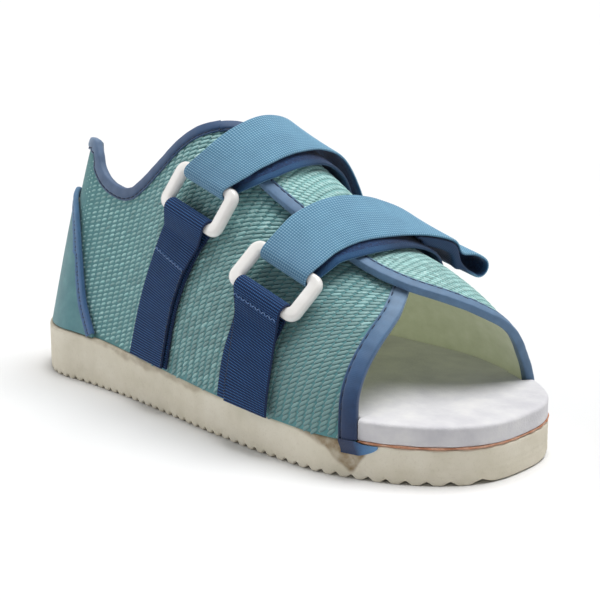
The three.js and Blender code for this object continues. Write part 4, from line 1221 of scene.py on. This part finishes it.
# share of the climb, puff of the outer layer, puff of the inner one, share of the sideways shift
WEBBING_CLIMB = ((0.0, 0.0, 0.0, 1.0), (0.4, 0.0, 0.0, 0.9), (0.7, 0.3, 0.0, 0.6), (1.0, 1.2, 1.2, 0.1))
WEBBING_RIB = 0.13
SELVEDGE_FROM = 0.0137
RIB_PITCH = 1.15
RIBBON_HALF = (0.0, 0.25, 0.5, 0.75, 0.9, 0.96, 0.99, 1.0)
FASTENINGS["rear"]["webbing"] = {"x": (104.8, 108.6, 114.2, 121.8), "under_shift": 1.6, "seam": 52.0}
FASTENINGS["front"]["webbing"] = {"x": (182.5, 182.4, 182.0, 180.8), "under_shift": -7.0, "seam": 46.0}
across_at = np.array([-aside for aside in RIBBON_HALF[:0:-1]] + list(RIBBON_HALF))
ribbon_edge = np.clip((1.0 - np.abs(across_at)) / 0.05, 0.0, 1.0) ** 0.5


def layer_frames(rows, count, weights, ring_across, facing):
    at = np.linspace(0.0, len(rows) - 1.0, count)
    columns = np.array(rows, float).T
    reach, x, stand = (through(np.arange(len(rows)), column)(at) for column in columns)
    run = run_at(x, -1.0)
    middle = stand_off(run, reach, stand)
    along = unit(np.gradient(middle, axis=0))
    face = wall_normal(run, reach)
    square = unit(np.cross(along, face))
    square = np.where(square[:, :1] < 0.0, -square, square)
    footward = unit(wall_surface(run - 1.0, reach) - wall_surface(run + 1.0, reach))
    foot, ring = weights(np.linspace(0.0, 1.0, count))
    blend = square * (1.0 - foot - ring)[:, None] + footward * foot[:, None] + ring_across * ring[:, None]
    across = unit(blend - face * np.sum(blend * face, -1, keepdims=True))
    return middle, across, face * facing


def fold_frames(ring, bar_side, thick, outer_first, wrap_degrees, count):
    radius = RING_BAR / 2.0 + 1.5 * GAP + thick / 2.0
    bar = ring["middle"] + ring["up"] * (bar_side * (RING_SLOT + RING_BAR) / 2.0)
    angle = np.radians(np.linspace(wrap_degrees, -90.0, count)) * (1.0 if outer_first else -1.0)
    normal = ring["normal"] * np.sin(angle)[:, None] - ring["up"] * (bar_side * np.cos(angle))[:, None]
    return bar + normal * radius, np.repeat(ring["across"][None], count, 0), normal


def joined(*layers):
    return [np.concatenate(parts) for parts in zip(*layers)]


def relaxed(frames, step, soften):
    lengths = line_lengths(frames[0])
    at = np.linspace(0.0, lengths[-1], int(lengths[-1] / step) + 1)
    reach = int(3.0 * soften / step)
    weights = np.exp(-0.5 * (np.arange(-reach, reach + 1) * step / soften) ** 2)
    weights = weights / weights.sum()
    soft = []
    for part in frames:
        part = resampled(at, lengths, part)
        before = 2.0 * part[0] - part[reach:0:-1]
        after = 2.0 * part[-1] - part[-2:-reach - 2:-1]
        extended = np.concatenate([before, part, after])
        soft.append(np.stack([np.convolve(column, weights, "valid") for column in extended.T], -1))
    middle, across, normal = soft
    across = unit(across)
    normal = unit(normal - across * np.sum(normal * across, -1, keepdims=True))
    return middle, across, normal, at


def webbing_frames(fastening):
    ring = fastening["ring"]
    webbing = fastening["webbing"]
    run = run_at(fastening["ring_x"], -1.0)
    reach = fastening["ring_reach"]
    per_reach = np.linalg.norm(wall_surface(run, reach) - wall_surface(run, reach - 0.1)) / 0.1
    top_reach = reach - (RING_SLOT / 2.0 + RING_BAR + WEBBING_PART) / per_reach
    under = GAP + WEBBING_THICK / 2.0
    over = under + WEBBING_THICK + GAP
    outer = []
    inner = []
    for (climb, puff_out, puff_in, shift), x in zip(WEBBING_CLIMB, webbing["x"]):
        at = WEBBING_FOOT + (top_reach - WEBBING_FOOT) * climb
        outer.append((at, x, over + puff_out))
        inner.append((at, x + shift * webbing["under_shift"], under + puff_in))
    return joined(
        layer_frames(outer, 60, lambda t: (1.0 - t, t), ring["across"], 1.0),
        fold_frames(ring, -1.0, WEBBING_THICK, True, WEBBING_WRAP, 30),
        layer_frames(inner[::-1], 60, lambda t: (t, 1.0 - t), ring["across"], -1.0))


def ribbon_grid(frames, width, lift):
    middle, across, normal = frames[:3]
    side = across_at * width / 2.0
    flat = middle[:, None, :] + across[:, None, :] * side[None, :, None]
    return flat + normal[:, None, :] * lift[..., None]


def ribbon_uv(at, width):
    return np.stack(np.broadcast_arrays(at[:, None], across_at[None, :] * width / 2.0), -1)


def ribbing(material, split, thread_pitch, share):
    turns = []
    for label, pitch in (("X", RIB_PITCH), ("Y", thread_pitch)):
        turn = worked(material, "MULTIPLY", split.outputs[label], 2000.0 * math.pi / pitch)
        turns.append(worked(material, "COSINE", turn))
    rib, thread = turns
    both = worked(material, "MULTIPLY_ADD", thread, share, rib)
    return worked(material, "MULTIPLY_ADD", both, 0.5 / (1.0 + share), 0.5)


def past_middle(material, split, distance):
    aside = worked(material, "ABSOLUTE", split.outputs["Y"])
    return worked(material, "GREATER_THAN", aside, distance)


def webbing_cloth():
    material = material_with("navy webbing", 0.8, Sheen_Weight=0.05, Specular_IOR_Level=0.3)
    place = cloth_place(material)
    split = node(material, "SeparateXYZ", {"Vector": place})
    rib = ribbing(material, split, 0.95, 0.7)
    # Painted light and shade on the ribs: crests pale, grooves dark navy, over the real rib relief.
    navy = ramp(material, rib, [(0.3, "061d43"), (0.6, "0e3467"), (0.82, "275a96"), (1.0, "4c86b8")])
    wear = speckled(material, place, 110.0, 4.0, (0.25, "4a4a4a"), (0.75, "b4b4b4"))
    wear_and_light = mixed(material, 0.3, navy, wear, "OVERLAY")
    edged = mixed(material, past_middle(material, split, SELVEDGE_FROM), wear_and_light, linear("13274b"))
    return dress(material, edged, rib, 0.3, 0.0003)


webbing_finish = webbing_cloth()
blue_thread = thread_cotton("blue thread", "4f72ad", "7f9fce")
for label, fastening in FASTENINGS.items():
    webbing = fastening["webbing"]
    frames = relaxed(webbing_frames(fastening), RIB_PITCH / 6.0, 0.9)
    middle, _, facing, at = frames
    rib = WEBBING_RIB * np.cos(2.0 * np.pi * at / RIB_PITCH)
    lift = (WEBBING_THICK / 2.0 - 0.16 + rib[:, None]) * (0.35 + 0.65 * ribbon_edge[None, :])
    outer = ribbon_grid(frames, WEBBING_WIDTH, lift)
    inner = ribbon_grid(frames, WEBBING_WIDTH, -lift)
    piece = shell_object(
        label + "_navy_webbing", outer, inner, ribbon_uv(at, WEBBING_WIDTH), [webbing_finish])
    finished(piece, label + "_webbing")
    level = int(np.argmin(np.abs(line_lengths(middle) - webbing["seam"])))
    cross_line = outer[level, 2:-2] + 0.15 * facing[level]
    cross_facing = np.repeat(facing[level:level + 1], len(cross_line), 0)
    column = 2 if webbing["under_shift"] < 0.0 else -3
    edge_line = outer[4:level, column] + 0.1 * facing[4:level]
    sewn = [
        stitch_row(label + "_webbing_seam", cross_line, cross_facing, 1.5, blue_thread, 31,
                   0.8, (0.6, 0.7, 0.8)),
        stitch_row(label + "_webbing_edge_seam", edge_line, facing[4:level], 2.6, navy_thread, 32,
                   0.0, (0.6, 0.8, 0.8))]
    for seam in sewn:
        finished(seam, None)

# Straps: two lengths of blue woven hook-and-loop strap. Each is sewn into the left wall, crosses
# the instep, turns round the upper bar of its ring and lies back on itself, pile face down. The
# front one ends in a pull loop, with its end tucked under.
STRAP_WIDTH = 28.0
STRAP_THICK = 1.6
STRAP_RIB = 0.10
TURN_SHARE = 0.3
PILE_MARGIN = 0.0110
SHADE_STEP = 0.3
FASTENINGS["rear"]["under"] = (
    # reach over the instep, station, stand off the wall
    (1.94, 144, 1.3), (1.6, 149.5, 2), (1.45, 150.5, 3.8), (1.3, 151, 6.5), (1.15, 151, 7),
    (1.0, 150.5, 6.9), (0.82, 147.5, 7), (0.7, 142.5, 6.8))
FASTENINGS["rear"]["over"] = (
    (0.7, 138, 9.4), (0.85, 142.5, 9.2), (1.0, 144.5, 9.2), (1.15, 145.5, 11), (1.32, 146.5, 13.3),
    (1.55, 148, 12))
FASTENINGS["rear"]["tab"] = None
FASTENINGS["front"]["under"] = (
    (1.92, 193.5, 1.3), (1.6, 198.5, 2), (1.45, 199.5, 4.6), (1.3, 200, 7.6), (1.15, 199.5, 7.6),
    (1.0, 198, 7.4), (0.82, 193.5, 7.7), (0.7, 189, 7.0))
FASTENINGS["front"]["over"] = (
    (0.7, 185.5, 9.4), (0.85, 188.5, 9.8), (1.0, 192, 9.7), (1.12, 194.5, 10.8), (1.26, 198, 14.3),
    (1.4, 202, 18.4))
FASTENINGS["front"]["tab"] = {
    "length": 20.0, "open": 9.0, "pad": 4.0, "tuck": 25.0, "tail": 99.0, "sag": 3.4, "sag_at": 24.0,
    "sag_half": 5.5}


def tab_frames(over, tab):
    middle, across, normal = over
    along = unit(middle[-1] - middle[-2])
    face = unit(normal[-1] - along * np.dot(normal[-1], along))
    rows = [(part * tab["length"], 0.0, 0.0) for part in np.linspace(0.1, 1.0, 20)]
    radius = tab["open"] / 2.0
    for tilt in np.linspace(0.0, np.pi, 22)[1:-1]:
        rows.append((tab["length"] + radius * math.sin(tilt), radius * (1.0 - math.cos(tilt)), tilt))
    closed = STRAP_THICK + GAP
    for part in np.linspace(1.0, 0.05, 22):
        rows.append((part * tab["length"], closed + (tab["open"] - closed) * ease(1.4 * part - 0.1), np.pi))
    forward, down, tilt = np.array(rows).T
    points = middle[-1] + along * forward[:, None] - face * down[:, None]
    turned = face * np.cos(tilt)[:, None] + along * np.sin(tilt)[:, None]
    back = np.nonzero(np.linalg.norm(middle - middle[-1], axis=1) < tab["tuck"])[0][::-1]
    loop = (points, np.repeat(across[-1:], len(rows), 0), turned)
    return joined(loop, (middle[back] - normal[back] * closed, across[back], -normal[back]))


def arriving(share):
    return 1.0 - ease(share / TURN_SHARE), ease(1.0 - (1.0 - share) / TURN_SHARE)


def leaving(share):
    return np.zeros_like(share), 1.0 - ease(share / TURN_SHARE)


def strap_frames(fastening):
    ring = fastening["ring"]
    under = layer_frames(fastening["under"], 120, arriving, ring["across"], -1.0)
    over = layer_frames(fastening["over"], 120, leaving, ring["across"], 1.0)
    layers = [under, fold_frames(ring, 1.0, STRAP_THICK, False, 90.0, 24), over]
    if fastening["tab"]:
        layers.append(tab_frames(over, fastening["tab"]))
    return joined(*layers)


def sagged(grid, frames, tab):
    middle, across, facing, at = frames
    tail = at > at[-1] - tab["tail"]
    start = int(np.argmax(tail))
    way = unit(middle[start + 50] - middle[start])
    forward = (grid[tail] - middle[start]) @ way
    sideways = (grid[tail] - middle[start]) @ across[start]
    near = 0.5 + 0.5 * np.clip(sideways * 2.0 / STRAP_WIDTH, -1.0, 1.0)
    drop = tab["sag"] * np.exp(-((forward - tab["sag_at"]) / tab["sag_half"]) ** 2) * near ** 1.5
    grid[tail] = grid[tail] - facing[start] * drop[..., None]


def strap_weave():
    material = material_with("strap weave", 0.8, Sheen_Weight=0.12)
    place = cloth_place(material)
    rib = ribbing(material, node(material, "SeparateXYZ", {"Vector": place}), 1.25, 0.9)
    # Painted light and shade on the ribs: crests pale, grooves darker.
    blue = ramp(material, rib, [(0.1, "4d87ab"), (0.5, "689ebd"), (0.8, "83b5ce"), (1.0, "b6dae6")])
    wear = speckled(material, place, 100.0, 4.0, (0.25, "585858"), (0.75, "a6a6a6"))
    wear_and_light = mixed(material, 0.3, blue, wear, "OVERLAY")
    # Painted shade: the under layer, the turn round the ring and the tucked end are made darker.
    shaded = mixed(material, painted(material, "painted_strap_shade"), wear_and_light, linear("15315a"))
    return dress(material, shaded, rib, 0.3, 0.0003)


def strap_pile():
    material = material_with("strap pile", 0.95, Sheen_Weight=0.12)
    place = cloth_place(material)
    dark = speckled(
        material, place, 700.0, 4.0, (0.3, "152c50"), (0.55, "1f4270"), (0.75, "2f5e90"), (0.9, "5f8fba"))
    margin = past_middle(material, node(material, "SeparateXYZ", {"Vector": place}), PILE_MARGIN)
    two_tone = mixed(material, margin, dark, linear("28547f"))
    # Painted shade: the pile goes near black where the strap lies under itself.
    painted_strap_shade = ramp(material, painted(material, "painted_strap_shade"), [(0.55, "000000"), (0.95, "e0e0e0")])
    deep = mixed(material, painted_strap_shade, two_tone, linear("0c1d3a"))
    return dress(material, deep, grainy(material, place, 2200.0), 0.8, 0.0006)


weave_finish = strap_weave()
pile_finish = strap_pile()
for label, fastening in FASTENINGS.items():
    tab = fastening["tab"]
    frames = relaxed(strap_frames(fastening), RIB_PITCH / 5.0, 1.2)
    middle, _, _, at = frames
    rib = STRAP_RIB * np.cos(2.0 * np.pi * at / RIB_PITCH)
    thinned = 0.4 + 0.6 * ribbon_edge[None, :]
    lift = (STRAP_THICK / 2.0 - 0.12 + rib[:, None]) * thinned
    under = np.repeat(STRAP_THICK / 2.0 * thinned, len(at), 0)
    # Painted shade along the strap: darker on the under layer and at the turn round the ring, none on the
    # top layer.
    to_ring = at[np.argmin(np.linalg.norm(middle - fastening["ring"]["middle"], axis=1))] - at
    shades = 1.0 + rises(to_ring, 12.0, 25.0) + rises(to_ring, 42.0, 18.0) - rises(-to_ring, 4.0, 22.0)
    painted_strap_shade = SHADE_STEP * shades
    if tab:
        left_over = at[-1] - at
        pad = ease((tab["tuck"] + 14.0 - left_over) / 10.0) * rises(left_over, 1.0, 7.0)
        lift = lift + tab["pad"] * pad[:, None] * ribbon_edge[None, :]
        # The tucked-under end of the pull loop is painted darker too: painted shade.
        painted_strap_shade = painted_strap_shade + 0.95 * ease((tab["tuck"] + 24.0 - left_over) / 12.0)
    outer = ribbon_grid(frames, STRAP_WIDTH, lift)
    inner = ribbon_grid(frames, STRAP_WIDTH, -under)
    if tab:
        sagged(outer, frames, tab)
        sagged(inner, frames, tab)
    piece = shell_object(
        label + "_woven_strap", outer, inner, ribbon_uv(at, STRAP_WIDTH),
        [weave_finish, pile_finish, weave_finish])
    point_values(piece.data, "painted_strap_shade", np.tile(np.repeat(painted_strap_shade, len(across_at)), 2))
    finished(piece, label + "_strap")

# Studio: a wide pale floor, and a surround that looks white and lights the shoe faintly. A broad
# soft lamp shines from high above and a little behind, a weaker one from the camera's left.
CAMERA_PLACE = (0.5344, -0.5940, 0.2581)
CAMERA_AZIMUTH = 41.105
CAMERA_ELEVATION = 14.447
CAMERA_LENS = 103.25
FLOOR_HALF = 80.0
SURROUND_LIGHT = 0.2
LAMP_AIM = (0.0, 0.0, 0.05)
LAMP_SPREAD = 0.8


def pale_floor():
    material = material_with("pale floor", 0.85)
    place = object_place(material)
    return dress(material, speckled(material, place, 3.0, 3.0, (0.3, "e6e6e6"), (0.7, "eaeaea")))


floor_mesh = bpy.data.meshes.new("floor")
floor_corners = [(FLOOR_HALF * x, FLOOR_HALF * y, 0.0) for x, y in ((-1, -1), (1, -1), (1, 1), (-1, 1))]
floor_mesh.from_pydata(floor_corners, [], [(0, 1, 2, 3)])
floor_mesh.materials.append(pale_floor())
floor = placed("floor", floor_mesh)

world = bpy.data.worlds.new("studio")
bpy.context.scene.world = world
world.use_nodes = True
surround = world.node_tree
seen = tree_node(surround, "ShaderNodeLightPath").outputs["Is Camera Ray"]
brightness = {0: seen, 1: 1.0 - SURROUND_LIGHT, 2: SURROUND_LIGHT}
shine = tree_node(surround, "ShaderNodeMath", brightness, operation="MULTIPLY_ADD")
background = surround.nodes["Background"]
background.inputs["Color"].default_value = (1.0, 1.0, 1.0, 1.0)
surround.links.new(shine.outputs["Value"], background.inputs["Strength"])


def soft_lamp(name, place, power):
    lamp = bpy.data.lights.new(name, "SUN")
    lamp.angle = LAMP_SPREAD
    lamp.energy = power
    holder = placed(name, lamp)
    holder.location = place
    way = np.array(LAMP_AIM) - np.array(place)
    flat = math.hypot(way[0], way[1])
    holder.rotation_euler = (math.atan2(flat, -way[2]), 0.0, math.atan2(way[1], way[0]) - math.pi / 2.0)


soft_lamp("key lamp", (0.2, 0.5, 1.95), 3.35)
soft_lamp("fill lamp", (-1.6, -1.1, 0.8), 0.85)

camera_data = bpy.data.cameras.new("camera")
camera_data.lens = CAMERA_LENS
camera_data.sensor_width = 36.0
camera = placed("camera", camera_data)
camera.location = CAMERA_PLACE
camera.rotation_euler = (math.radians(90.0 - CAMERA_ELEVATION), 0.0, math.radians(CAMERA_AZIMUTH))
bpy.context.scene.camera = camera
bpy.context.scene.view_settings.view_transform = "Standard"
